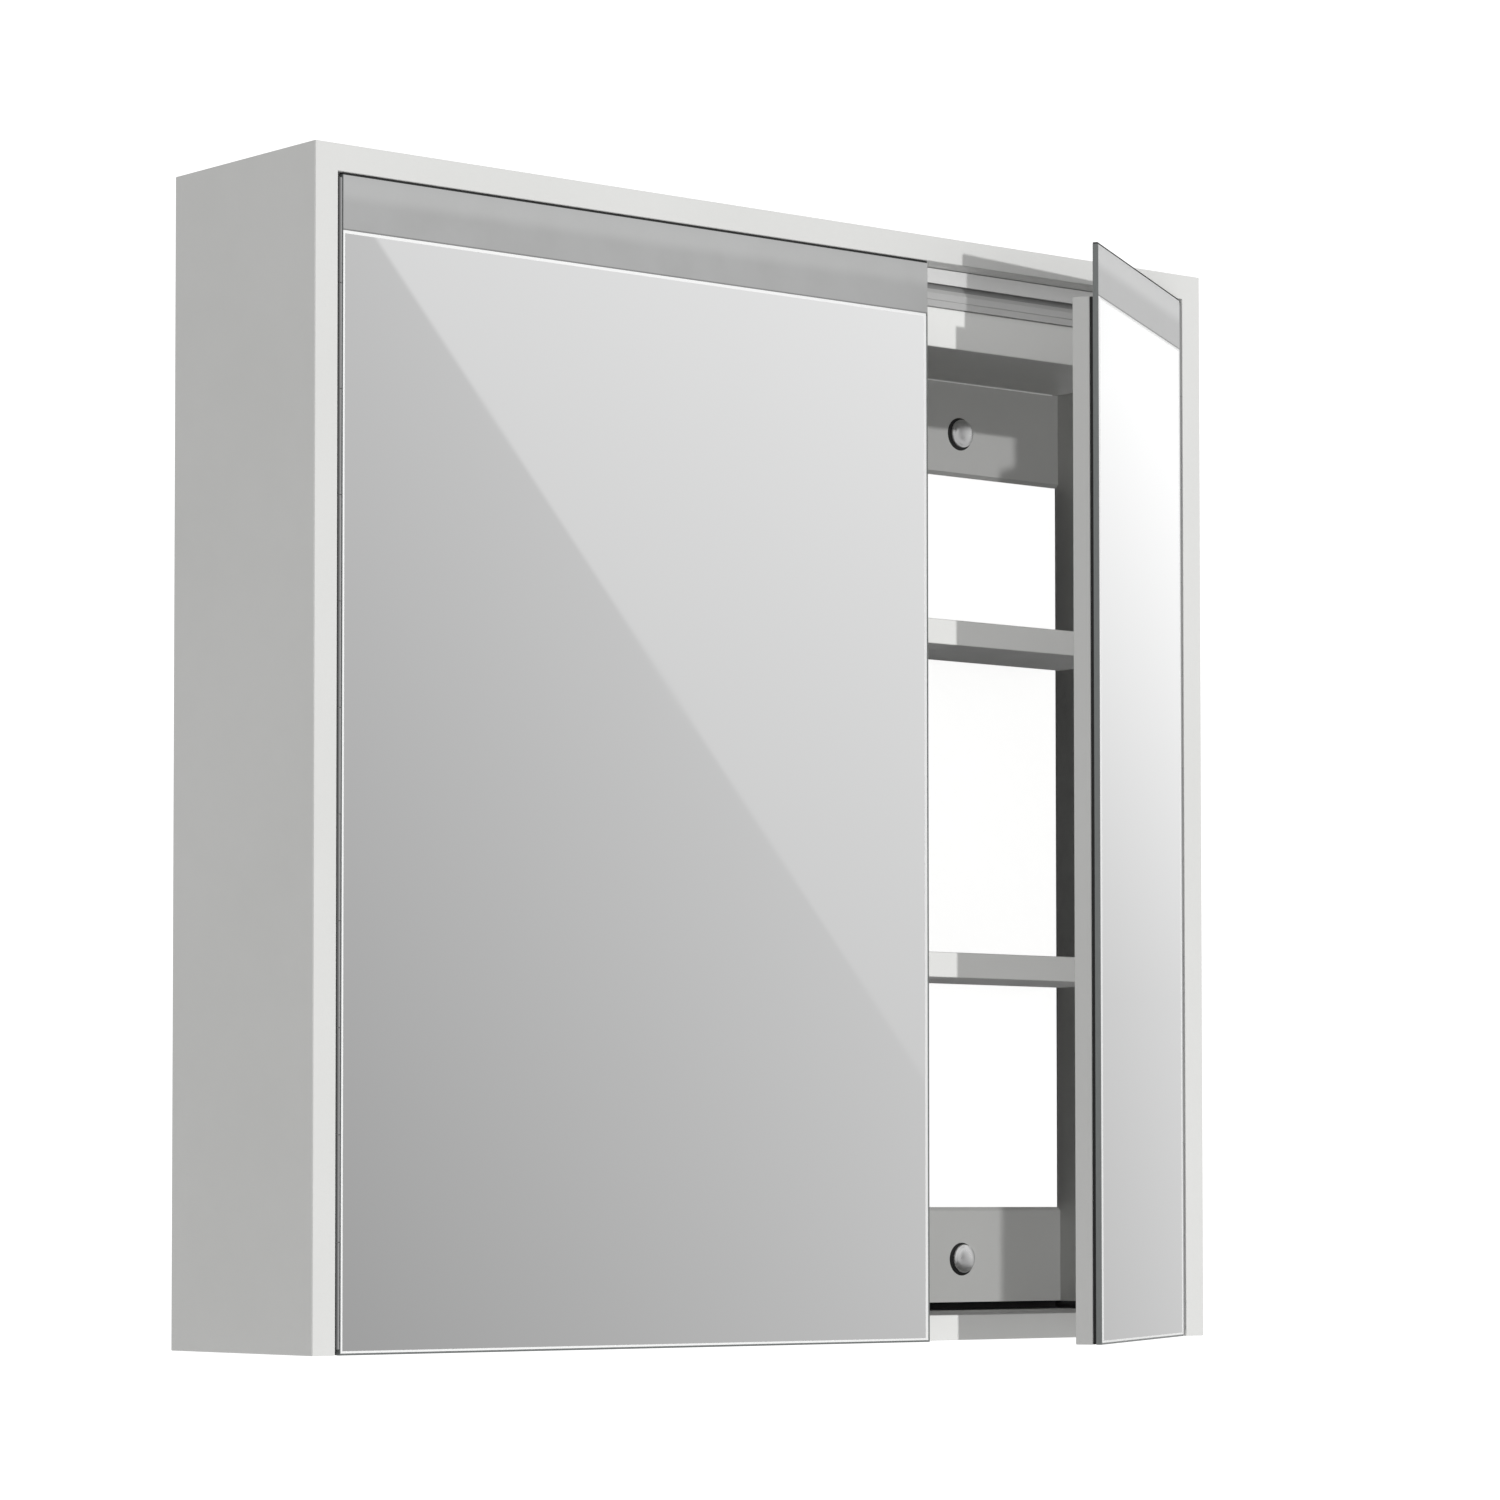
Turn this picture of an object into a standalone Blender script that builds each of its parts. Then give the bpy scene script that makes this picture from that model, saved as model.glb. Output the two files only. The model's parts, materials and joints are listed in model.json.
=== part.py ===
"""Wall-hung bathroom mirror cabinet with two inset mirror doors and a built-in light.

The cabinet is worked out in its own working frame: X from the left outer side, Y from the front
edge of the carcass towards the wall, Z from the underside. An empty then carries that frame so
that the world origin is the centre of the upper fixing rail's rear face, which meets the wall.

Each door is worked out in a hinge frame: u runs from the hinge axis into the opening, v runs from
the axis towards the wall, and z is the cabinet's own. side = +1 is the left door, -1 the right.
"""

import math

import bmesh
import bpy
from mathutils import Matrix, Vector

# Overall size
WIDTH = 0.800
HEIGHT = 0.780
DEPTH = 0.160

# Boards
BOARD = 0.018
HEAVY_BOARD = 0.028
BACK_PANEL = 0.004
EDGE_ROUND = 0.0005

# Clearances
GLUE_GAP = 0.0002
GAP = 0.0003
HOLE_OVERSHOOT = 0.002
SHELF_END_GAP = 0.001
DOOR_STOP_GAP = 0.002

# Doors
NARROW_DOOR = 0.2448
DOOR_MEETING_GAP = 0.003
DOOR_TOP_GAP = 0.0015
PANE = 0.004
TAPE = 0.0025
TAPE_WIDTH = 0.012
CARRIER = 0.012
BAND_HEIGHT = 0.0363
LEFT_REST_ANGLE = 0.0
RIGHT_REST_ANGLE = 31.9

# Continuous hinges
HINGE_GAP = 0.004
HINGE_AXIS_DEPTH = 0.001
LEAF = 0.0008
LEAF_DEPTH = 0.0155
PIN_CLEARANCE = 0.0002
KNUCKLES = 11
KNUCKLE_GAP = 0.0004
HINGE_END = 0.004
ROLL_END = math.radians(470)
ROLL_STEPS = 9

# Inside
LIGHT_BAY = 0.0277
RAIL_HEIGHT = 0.070
RAIL_PROUD = 0.004
RAIL_CHAMFER = 0.0026
RAIL_LIFT = 0.006
GROOVE_DEPTH = 0.006
LOWER_SHELF_HEIGHT = 0.2586
SHELF_PITCH = 0.2391
SHELF_SETBACK = 0.0241

# Shelf supports
PEG_RADIUS = 0.003
PEG_STEM_RADIUS = 0.0025
PEG_REACH = 0.008
PEG_HOLE = 0.009
PEG_INSET = 0.020
PEG_SPACING = 0.032

# Wall fixings
FIXING_INSET = 0.0994
FIXING_HEIGHT = 0.032
BUSH_RADIUS = 0.0048
BUSH_BORE = 0.003
BUSH_FLANGE_RADIUS = 0.0075
BUSH_FLANGE = 0.0012
BUSH_LENGTH = 0.024
CAP_RADIUS = 0.0104
CAP_HEIGHT = 0.0055
CAP_WALL = 0.0012
CAP_RIM = 0.0015

# Light
LIGHT_FRONT = 0.018
LIGHT_BODY = 0.026
LIGHT_WALL = 0.0012
LIGHT_TOP_GAP = 0.0006
LIP_HEIGHT = 0.0125
LIP_SLOPE = 0.003
LIP_SLOPE_DEPTH = 0.0016
LIP_GROOVE_HEIGHT = 0.0042
LIP_GROOVE = 0.0006
DIFFUSER = 0.002
DIFFUSER_SLOT = 0.004
END_CAP = 0.0015
STRIP_THICKNESS = 0.0014
STRIP_HEIGHT = 0.008
DRIVER_SIZE = (0.150, 0.042, 0.018)
DRIVER_PLACE = (0.300, 0.080)
TERMINAL_SIZE = (0.046, 0.024, 0.017)
TERMINAL_PLACE = (0.190, 0.089)
LEAD_RADIUS = 0.002
LEAD_REACH = 0.060

# Small trim
BUMPER_RADIUS = 0.004
BUMPER_TIP_RADIUS = 0.0032
BUMPER_INSET = 0.022
SEAL_DEPTH = 0.010
SEAL_SETBACK = 0.005

# Worked out from the sizes above
INNER_LEFT = BOARD
INNER_RIGHT = WIDTH - BOARD
CEILING = HEIGHT - BOARD
DOOR_THICKNESS = PANE + TAPE + CARRIER
STOP_DEPTH = DOOR_THICKNESS + DOOR_STOP_GAP
DOOR_TOP = CEILING - DOOR_TOP_GAP
CARRIER_TOP = DOOR_TOP - BAND_HEIGHT
WIDE_DOOR = INNER_RIGHT - INNER_LEFT - 2 * HINGE_GAP - DOOR_MEETING_GAP - NARROW_DOOR
LIGHT_SHELF_TOP = CEILING - LIGHT_BAY
LIGHT_SHELF_BOTTOM = LIGHT_SHELF_TOP - HEAVY_BOARD
RAIL_FRONT = DEPTH - HEAVY_BOARD
BACK_PANEL_DEPTH = RAIL_FRONT + RAIL_PROUD
UPPER_RAIL_TOP = LIGHT_SHELF_BOTTOM - GLUE_GAP
UPPER_RAIL_BOTTOM = UPPER_RAIL_TOP - RAIL_HEIGHT
LOWER_RAIL_BOTTOM = BOARD + RAIL_LIFT
LOWER_RAIL_TOP = LOWER_RAIL_BOTTOM + RAIL_HEIGHT
SHELF_FRONT = STOP_DEPTH + SHELF_SETBACK
SHELF_REAR = RAIL_FRONT - GAP
SHELF_HEIGHTS = {"lower": LOWER_SHELF_HEIGHT, "upper": LOWER_SHELF_HEIGHT + SHELF_PITCH}
BACK_TONGUE = GROOVE_DEPTH - 2 * GAP
AXIS_TO_SIDE = HINGE_GAP / 2
KNUCKLE_RADIUS = AXIS_TO_SIDE - GAP
PIN_RADIUS = KNUCKLE_RADIUS - LEAF - PIN_CLEARANCE
ORIGIN_IN_CABINET = Vector((WIDTH / 2, DEPTH, (UPPER_RAIL_TOP + UPPER_RAIL_BOTTOM) / 2))


# Materials


def make_material(name, color, roughness, metallic=0.0, transmission=0.0):
    material = bpy.data.materials.new(name)
    material.use_nodes = True
    shader = material.node_tree.nodes["Principled BSDF"]
    shader.inputs["Base Color"].default_value = (*color, 1.0)
    shader.inputs["Roughness"].default_value = roughness
    shader.inputs["Metallic"].default_value = metallic
    shader.inputs["Transmission Weight"].default_value = transmission
    material.diffuse_color = (*color, 1.0)
    return material


def make_materials():
    return {
        "melamine": make_material("white_melamine", (0.76, 0.76, 0.745), 0.45),
        "back": make_material("white_back_board", (0.90, 0.90, 0.89), 0.35),
        "mirror": make_material("silvered_glass", (0.86, 0.87, 0.87), 0.03, metallic=1.0),
        "tape": make_material("black_foam_tape", (0.012, 0.012, 0.011), 0.9),
        "aluminium": make_material("satin_aluminium", (0.62, 0.62, 0.61), 0.35, metallic=1.0),
        "steel": make_material("plated_steel", (0.60, 0.60, 0.59), 0.28, metallic=1.0),
        "chrome": make_material("chrome_cap", (0.75, 0.75, 0.74), 0.12, metallic=1.0),
        "opal": make_material("opal_diffuser", (0.88, 0.88, 0.86), 0.5, transmission=0.3),
        "strip": make_material("light_strip", (0.85, 0.84, 0.78), 0.5),
        "housing": make_material("white_plastic", (0.80, 0.80, 0.79), 0.5),
        "lead": make_material("black_lead", (0.02, 0.02, 0.02), 0.5),
        "bumper": make_material("clear_bumper", (0.75, 0.76, 0.76), 0.3, transmission=0.6),
    }


# Mesh tools


def add_object(name, mesh, material, parent):
    obj = bpy.data.objects.new(name, mesh)
    bpy.context.scene.collection.objects.link(obj)
    if material is not None:
        mesh.materials.append(material)
    obj.parent = parent
    return obj


def mesh_of(bm, name):
    bmesh.ops.recalc_face_normals(bm, faces=bm.faces)
    mesh = bpy.data.meshes.new(name)
    bm.to_mesh(mesh)
    bm.free()
    return mesh


def add_empty(name, place, parent, angle=0.0):
    empty = bpy.data.objects.new(name, None)
    bpy.context.scene.collection.objects.link(empty)
    empty.empty_display_size = 0.03
    empty.location = place
    empty.rotation_euler.z = angle
    empty.parent = parent
    return empty


def add_bevel(obj, width, segments=1):
    bevel = obj.modifiers.new("edges", "BEVEL")
    bevel.width = width
    bevel.segments = segments
    bevel.limit_method = "ANGLE"
    return bevel


def add_board(name, low, high, material, parent, rounding=EDGE_ROUND):
    """A rectangular board between two corners, with its origin at its middle."""
    low, high = Vector(low), Vector(high)
    bm = bmesh.new()
    bmesh.ops.create_cube(bm, size=1.0, matrix=Matrix.Diagonal((*(high - low), 1.0)))
    obj = add_object(name, mesh_of(bm, name), material, parent)
    obj.location = (low + high) / 2
    if rounding:
        add_bevel(obj, rounding)
    return obj


def extruded(outline, along, start, end, name):
    """A closed outline of (a, b) points carried along one axis, from start to end."""
    place = {
        "X": lambda a, b, d: (d, a, b),
        "Y": lambda a, b, d: (a, d, b),
        "Z": lambda a, b, d: (a, b, d),
    }[along]
    bm = bmesh.new()
    face = bm.faces.new([bm.verts.new(place(a, b, start)) for a, b in outline])
    step = Vector(place(0.0, 0.0, end - start))
    moved = bmesh.ops.extrude_face_region(bm, geom=[face])["geom"]
    bmesh.ops.translate(bm, verts=[v for v in moved if isinstance(v, bmesh.types.BMVert)], vec=step)
    return mesh_of(bm, name)


def turned(profile, axis, steps, name):
    """A closed profile of (radius, height) points turned about an axis through the origin."""
    bm = bmesh.new()
    circle = [(math.cos(2 * math.pi * i / steps), math.sin(2 * math.pi * i / steps)) for i in range(steps)]
    rings = []
    for radius, height in profile:
        around = circle if radius else [(0.0, 0.0)]
        rings.append([bm.verts.new((radius * x, radius * y, height)) for x, y in around])
    for ring, following in zip(rings, rings[1:] + rings[:1]):
        if len(ring) == 1 and len(following) == 1:
            continue
        for i in range(steps):
            j = (i + 1) % steps
            corners = [ring[i % len(ring)], ring[j % len(ring)]]
            corners += [following[j % len(following)], following[i % len(following)]]
            bm.faces.new(list(dict.fromkeys(corners)))
    turn = Vector((0, 0, 1)).rotation_difference(Vector(axis))
    bmesh.ops.rotate(bm, cent=(0, 0, 0), matrix=turn.to_matrix(), verts=bm.verts)
    mesh = mesh_of(bm, name)
    mesh.shade_smooth()
    mesh.set_sharp_from_angle(angle=math.radians(35))
    return mesh


def add_cutter(name, meshes, parent):
    """One hidden object made of (mesh, place) shapes to cut away, each moved to its place."""
    bm = bmesh.new()
    for mesh, place in meshes:
        part = bmesh.new()
        part.from_mesh(mesh)
        bmesh.ops.translate(part, verts=part.verts, vec=place)
        moved = bpy.data.meshes.new(name)
        part.to_mesh(moved)
        part.free()
        bm.from_mesh(moved)
    cutter = add_object(name, mesh_of(bm, name), None, parent)
    cutter.hide_render = True
    cutter.display_type = "WIRE"
    return cutter


def cut(obj, cutter):
    boolean = obj.modifiers.new("cut", "BOOLEAN")
    boolean.operation = "DIFFERENCE"
    boolean.solver = "EXACT"
    boolean.object = cutter


def block_mesh(low, high, name):
    low, high = Vector(low), Vector(high)
    bm = bmesh.new()
    place = Matrix.Translation((low + high) / 2) @ Matrix.Diagonal((*(high - low), 1.0))
    bmesh.ops.create_cube(bm, size=1.0, matrix=place)
    return mesh_of(bm, name)


# Carcass


def make_side_panel(name, inner, side, materials, parent):
    """A side panel with a stopped groove for the back panel and blind holes for the shelf pegs."""
    outer = inner - side * BOARD
    low, high = (min(inner, outer), 0.0, 0.0), (max(inner, outer), DEPTH, HEIGHT)
    panel = add_board(name, low, high, materials["melamine"], parent)
    deep, proud = inner - side * GROOVE_DEPTH, inner + side * 2 * EDGE_ROUND
    groove = block_mesh(
        (min(deep, proud), BACK_PANEL_DEPTH - GAP, LOWER_RAIL_TOP - GROOVE_DEPTH),
        (max(deep, proud), BACK_PANEL_DEPTH + BACK_PANEL + GAP, UPPER_RAIL_BOTTOM + GROOVE_DEPTH),
        name + "_groove",
    )
    hole_radius = PEG_STEM_RADIUS + GAP
    hole = turned(
        [(0.0, -2 * EDGE_ROUND), (hole_radius, -2 * EDGE_ROUND), (hole_radius, PEG_HOLE), (0.0, PEG_HOLE)],
        (-side, 0, 0), 12, name + "_hole",
    )
    shapes = [(groove, Vector((0, 0, 0)))]
    shapes += [(hole, Vector((inner, y, z))) for _, y, z in peg_places()]
    cut(panel, add_cutter(name + "_cutter", shapes, parent))
    return panel


def peg_places():
    """(label, Y, Z) of the shelf pegs in one side panel, by their centre lines."""
    rows = {"front": SHELF_FRONT + PEG_INSET, "rear": SHELF_FRONT + PEG_INSET + PEG_SPACING}
    drop = GAP + PEG_RADIUS
    return [
        (f"{shelf}_{row}", y, height - drop)
        for shelf, height in SHELF_HEIGHTS.items()
        for row, y in rows.items()
    ]


def rail_outline(bottom, top, free_edge):
    """(Y, Z) outline of a fixing rail: chamfered and grooved for the back panel along its free edge."""
    outward = 1 if free_edge == top else -1
    inner = free_edge - outward * GROOVE_DEPTH
    lowered = free_edge - outward * RAIL_CHAMFER
    near, far = BACK_PANEL_DEPTH - GAP, BACK_PANEL_DEPTH + BACK_PANEL + GAP
    fixed = bottom if outward == 1 else top
    return [
        (RAIL_FRONT, fixed), (DEPTH, fixed), (DEPTH, free_edge), (far, free_edge), (far, inner),
        (near, inner), (near, free_edge), (RAIL_FRONT + RAIL_CHAMFER, free_edge), (RAIL_FRONT, lowered),
    ]


def make_rail(name, bottom, top, free_edge, materials, parent):
    """A fixing rail of heavy board with a through hole for each wall bush."""
    mesh = extruded(rail_outline(bottom, top, free_edge), "X", INNER_LEFT + GLUE_GAP,
                    INNER_RIGHT - GLUE_GAP, name)
    rail = add_object(name, mesh, materials["melamine"], parent)
    radius = BUSH_RADIUS + GAP
    hole = turned(
        [(0.0, -HOLE_OVERSHOOT), (radius, -HOLE_OVERSHOOT), (radius, HEAVY_BOARD + HOLE_OVERSHOOT),
         (0.0, HEAVY_BOARD + HOLE_OVERSHOOT)],
        (0, 1, 0), 16, name + "_hole",
    )
    places = [(hole, Vector((x, RAIL_FRONT, bottom + FIXING_HEIGHT))) for x in fixing_columns().values()]
    cut(rail, add_cutter(name + "_cutter", places, parent))
    return rail


def fixing_columns():
    return {"left": INNER_LEFT + FIXING_INSET, "right": INNER_RIGHT - FIXING_INSET}


def make_carcass(materials, parent):
    melamine = materials["melamine"]
    make_side_panel("left_side_panel", INNER_LEFT, 1, materials, parent)
    make_side_panel("right_side_panel", INNER_RIGHT, -1, materials, parent)
    left, right = INNER_LEFT + GLUE_GAP, INNER_RIGHT - GLUE_GAP
    add_board("top_panel", (left, 0.0, CEILING), (right, DEPTH, HEIGHT), melamine, parent)
    add_board("bottom_panel", (left, STOP_DEPTH, 0.0), (right, DEPTH, BOARD), melamine, parent)
    add_board("light_shelf", (left, STOP_DEPTH, LIGHT_SHELF_BOTTOM), (right, DEPTH, LIGHT_SHELF_TOP),
              melamine, parent)
    make_rail("upper_fixing_rail", UPPER_RAIL_BOTTOM, UPPER_RAIL_TOP, UPPER_RAIL_BOTTOM, materials, parent)
    make_rail("lower_fixing_rail", LOWER_RAIL_BOTTOM, LOWER_RAIL_TOP, LOWER_RAIL_TOP, materials, parent)
    add_board(
        "back_panel",
        (INNER_LEFT - BACK_TONGUE, BACK_PANEL_DEPTH, LOWER_RAIL_TOP - BACK_TONGUE),
        (INNER_RIGHT + BACK_TONGUE, BACK_PANEL_DEPTH + BACK_PANEL, UPPER_RAIL_BOTTOM + BACK_TONGUE),
        materials["back"], parent, rounding=0.0,
    )
    seal_front = RAIL_FRONT + SEAL_SETBACK
    add_board("lower_sealing_strip", (left, seal_front, BOARD + GAP),
              (right, seal_front + SEAL_DEPTH, LOWER_RAIL_BOTTOM - GAP), materials["tape"], parent,
              rounding=0.0)


def make_wall_fixings(materials, parent):
    """In each rail two flanged steel bushes for the wall screws, each under a domed cover cap."""
    flange = BUSH_FLANGE + GAP
    bush = turned(
        [(BUSH_BORE, -flange), (BUSH_FLANGE_RADIUS, -flange), (BUSH_FLANGE_RADIUS, -GAP),
         (BUSH_RADIUS, -GAP), (BUSH_RADIUS, BUSH_LENGTH), (BUSH_BORE, BUSH_LENGTH)],
        (0, 1, 0), 16, "bush",
    )
    cap = turned(dome_profile(), (0, -1, 0), 24, "cap")
    for row, bottom in (("upper", UPPER_RAIL_BOTTOM), ("lower", LOWER_RAIL_BOTTOM)):
        for column, x in fixing_columns().items():
            for label, shared, finish in (("wall_bush", bush, "steel"), ("cover_cap", cap, "chrome")):
                mesh = shared.copy()
                obj = add_object(f"{row}_{column}_{label}", mesh, materials[finish], parent)
                obj.location = (x, RAIL_FRONT, bottom + FIXING_HEIGHT)


def dome_profile():
    """(radius, height) of a hollow domed cap: a short straight rim, then a quarter of an ellipse."""
    base, rise, steps = GAP + CAP_RIM, CAP_HEIGHT - CAP_RIM, 5
    angles = [math.pi / 2 * i / steps for i in range(steps + 1)]
    outer = [(CAP_RADIUS * math.cos(a), base + rise * math.sin(a)) for a in angles]
    inner = [((CAP_RADIUS - CAP_WALL) * math.cos(a), base + (rise - CAP_WALL) * math.sin(a)) for a in angles]
    outer[-1], inner[-1] = (0.0, outer[-1][1]), (0.0, inner[-1][1])
    return [(CAP_RADIUS, GAP)] + outer + inner[::-1] + [(CAP_RADIUS - CAP_WALL, GAP)]


# Shelves


def make_shelves(materials, parent):
    peg = turned(
        [(0.0, -PEG_HOLE + GAP), (PEG_STEM_RADIUS, -PEG_HOLE + GAP), (PEG_STEM_RADIUS, GAP),
         (PEG_RADIUS, GAP), (PEG_RADIUS, PEG_REACH), (0.0, PEG_REACH)],
        (1, 0, 0), 12, "peg",
    )
    for shelf, height in SHELF_HEIGHTS.items():
        add_board(
            f"{shelf}_shelf",
            (INNER_LEFT + SHELF_END_GAP, SHELF_FRONT, height),
            (INNER_RIGHT - SHELF_END_GAP, SHELF_REAR, height + BOARD),
            materials["melamine"], parent,
        )
    for column, inner, turn in (("left", INNER_LEFT, 0.0), ("right", INNER_RIGHT, math.pi)):
        for label, y, z in peg_places():
            obj = add_object(f"{column}_{label}_shelf_peg", peg.copy(), materials["steel"], parent)
            obj.location = (inner, y, z)
            obj.rotation_euler.z = turn


# Light


def light_outline():
    """(Y, Z) outline of the light's extruded body: a channel open to the front, with a stepped lip."""
    front, rear = LIGHT_FRONT, LIGHT_FRONT + LIGHT_BODY
    bottom, top = LIGHT_SHELF_TOP + GAP, CEILING - LIGHT_TOP_GAP
    lip = bottom + LIP_HEIGHT
    groove = bottom + LIP_GROOVE_HEIGHT
    inside = front + LIP_SLOPE_DEPTH + LIGHT_WALL
    hook = front + DIFFUSER + GAP
    return [
        (front, bottom), (rear, bottom), (rear, top), (hook, top), (hook, top - LIGHT_WALL),
        (rear - LIGHT_WALL, top - LIGHT_WALL), (rear - LIGHT_WALL, bottom + LIGHT_WALL),
        (inside, bottom + LIGHT_WALL), (inside, lip), (front + LIP_SLOPE_DEPTH, lip),
        (front, lip - LIP_SLOPE), (front, groove + LIP_GROOVE), (front + LIP_GROOVE, groove + LIP_GROOVE),
        (front + LIP_GROOVE, groove), (front, groove),
    ]


def make_light(materials, parent):
    left, right = INNER_LEFT + GAP, INNER_RIGHT - GAP
    body_left, body_right = left + END_CAP + GAP, right - END_CAP - GAP
    front, rear = LIGHT_FRONT, LIGHT_FRONT + LIGHT_BODY
    bottom, top = LIGHT_SHELF_TOP + GAP, CEILING - LIGHT_TOP_GAP
    body = extruded(light_outline(), "X", body_left, body_right, "light_body")
    add_object("light_body", body, materials["aluminium"], parent)
    for name, low, high in (("left", left, left + END_CAP), ("right", right - END_CAP, right)):
        add_board(f"light_{name}_end_cap", (low, front, bottom), (high, rear, top), materials["housing"],
                  parent, rounding=0.0)
    diffuser_bottom = bottom + LIP_HEIGHT + DIFFUSER_SLOT
    add_board("light_diffuser", (body_left, front, diffuser_bottom), (body_right, front + DIFFUSER, top),
              materials["opal"], parent, rounding=0.0)
    strip_rear = rear - LIGHT_WALL - GAP
    strip_bottom = (diffuser_bottom + top - STRIP_HEIGHT) / 2 - LIGHT_WALL / 2
    add_board("light_strip", (body_left + GAP, strip_rear - STRIP_THICKNESS, strip_bottom),
              (body_right - GAP, strip_rear, strip_bottom + STRIP_HEIGHT), materials["strip"], parent,
              rounding=0.0)
    driver_low = Vector((*DRIVER_PLACE, bottom))
    driver_high = driver_low + Vector(DRIVER_SIZE)
    add_board("light_driver", driver_low, driver_high, materials["housing"], parent, rounding=0.0015)
    terminal_low = Vector((*TERMINAL_PLACE, bottom))
    terminal_high = terminal_low + Vector(TERMINAL_SIZE)
    add_board("mains_terminal", terminal_low, terminal_high, materials["housing"], parent, rounding=0.001)
    level = bottom + DRIVER_SIZE[2] / 2
    middle = (driver_low.y + driver_high.y) / 2
    add_lead("terminal_lead", [
        (terminal_high.x + GAP, middle, level), (terminal_high.x + 0.012, middle, level),
        ((terminal_high.x + driver_low.x) / 2, middle + 0.006, level - 0.003),
        (driver_low.x - 0.012, middle, level), (driver_low.x - GAP, middle, level),
    ], materials, parent)
    bend = driver_high.x + LEAD_REACH
    add_lead("strip_lead", [
        (driver_high.x + GAP, middle, level), (driver_high.x + 0.014, middle, level),
        (bend - 0.018, middle - 0.004, level - 0.002), (bend - 0.002, middle - 0.020, level - 0.002),
        (bend, rear + 0.014, level), (bend, rear + GAP, level),
    ], materials, parent)


def smooth_points(route, spacing):
    """Points read from a Catmull-Rom curve through a route, about one spacing apart."""
    points = [Vector(p) for p in route]
    ends = [2 * points[0] - points[1], *points, 2 * points[-1] - points[-2]]
    found = []
    for a, b, c, d in zip(ends, ends[1:], ends[2:], ends[3:]):
        steps = max(2, round((c - b).length / spacing))
        for i in range(steps):
            t = i / steps
            found.append(((2 * b) + (c - a) * t + (2 * a - 5 * b + 4 * c - d) * t * t
                          + (3 * b - a - 3 * c + d) * t ** 3) / 2)
    return found + [points[-1]]


def add_lead(name, route, materials, parent):
    curve = bpy.data.curves.new(name, "CURVE")
    curve.dimensions = "3D"
    curve.bevel_depth = LEAD_RADIUS
    curve.bevel_resolution = 2
    curve.use_fill_caps = True
    points = smooth_points(route, 2.5 * LEAD_RADIUS)
    spline = curve.splines.new("POLY")
    spline.points.add(len(points) - 1)
    for target, point in zip(spline.points, points):
        target.co = (*point, 1.0)
    curve.materials.append(materials["lead"])
    lead = bpy.data.objects.new(name, curve)
    bpy.context.scene.collection.objects.link(lead)
    lead.parent = parent
    return lead


# Doors and hinges


def hinge_box(name, side, u, v, z, material, parent, rounding=0.0):
    """A board given by its (low, high) along u, v and z in a door's hinge frame."""
    x = sorted((side * u[0], side * u[1]))
    return add_board(name, (x[0], v[0], z[0]), (x[1], v[1], z[1]), material, parent, rounding)


def ring_mesh(low, high, border, name):
    """A flat rectangular ring in the XZ plane between two corners, with the given border width."""
    low, high = Vector(low), Vector(high)
    bm = bmesh.new()

    def loop(inset, y):
        corners = ((low.x + inset, low.z + inset), (high.x - inset, low.z + inset),
                   (high.x - inset, high.z - inset), (low.x + inset, high.z - inset))
        return [bm.verts.new((x, y, z)) for x, z in corners]

    loops = [loop(0.0, low.y), loop(0.0, high.y), loop(border, high.y), loop(border, low.y)]
    for first, second in zip(loops, loops[1:] + loops[:1]):
        for i in range(4):
            j = (i + 1) % 4
            bm.faces.new((first[i], first[j], second[j], second[i]))
    return mesh_of(bm, name)


def roll_path():
    """(u, v) points of a rolled knuckle: round the outside of the roll, then back round its bore."""
    bore = KNUCKLE_RADIUS - LEAF
    angles = [math.pi + (ROLL_END - math.pi) * i / ROLL_STEPS for i in range(ROLL_STEPS + 1)]
    outside = [(KNUCKLE_RADIUS * math.cos(a), KNUCKLE_RADIUS * math.sin(a)) for a in angles]
    inside = [(bore * math.cos(a), bore * math.sin(a)) for a in reversed(angles)]
    return outside + inside


def leaf_mesh(mirror, knuckles, low, high, name):
    """A hinge leaf: a thin plate whose front edge is rolled into knuckles over the stretches in knuckles.

    The leaf is built with its plate on the -u side of the axis, then mirrored where mirror is -1.
    """
    outer, inner = -KNUCKLE_RADIUS, -KNUCKLE_RADIUS + LEAF
    clear = KNUCKLE_RADIUS + KNUCKLE_GAP
    plate = [(outer, clear), (outer, LEAF_DEPTH), (inner, LEAF_DEPTH), (inner, clear)]
    levels = sorted({low, high, *(z for stretch in knuckles for z in stretch)})
    bm = bmesh.new()

    def ring(outline, z):
        return [bm.verts.new((mirror * u, v, z)) for u, v in outline]

    plates = [ring(plate, z) for z in levels]
    bm.faces.new(plates[0])
    bm.faces.new(plates[-1][::-1])
    for bottom, top, z0, z1 in zip(plates, plates[1:], levels, levels[1:]):
        rolled = any(start <= z0 and z1 <= end for start, end in knuckles)
        for i in range(3):
            bm.faces.new((bottom[i], bottom[i + 1], top[i + 1], top[i]))
        if not rolled:
            bm.faces.new((bottom[3], bottom[0], top[0], top[3]))
            continue
        rolls = [ring(roll_path(), z) for z in (z0, z1)]
        loops = [[plate_ring[0], *roll, plate_ring[3]] for plate_ring, roll in zip((bottom, top), rolls)]
        for i in range(len(loops[0]) - 1):
            bm.faces.new((loops[0][i], loops[0][i + 1], loops[1][i + 1], loops[1][i]))
        for loop in loops:
            bm.faces.new(loop)
    mesh = mesh_of(bm, name)
    mesh.shade_smooth()
    mesh.set_sharp_from_angle(angle=math.radians(50))
    return mesh


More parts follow.
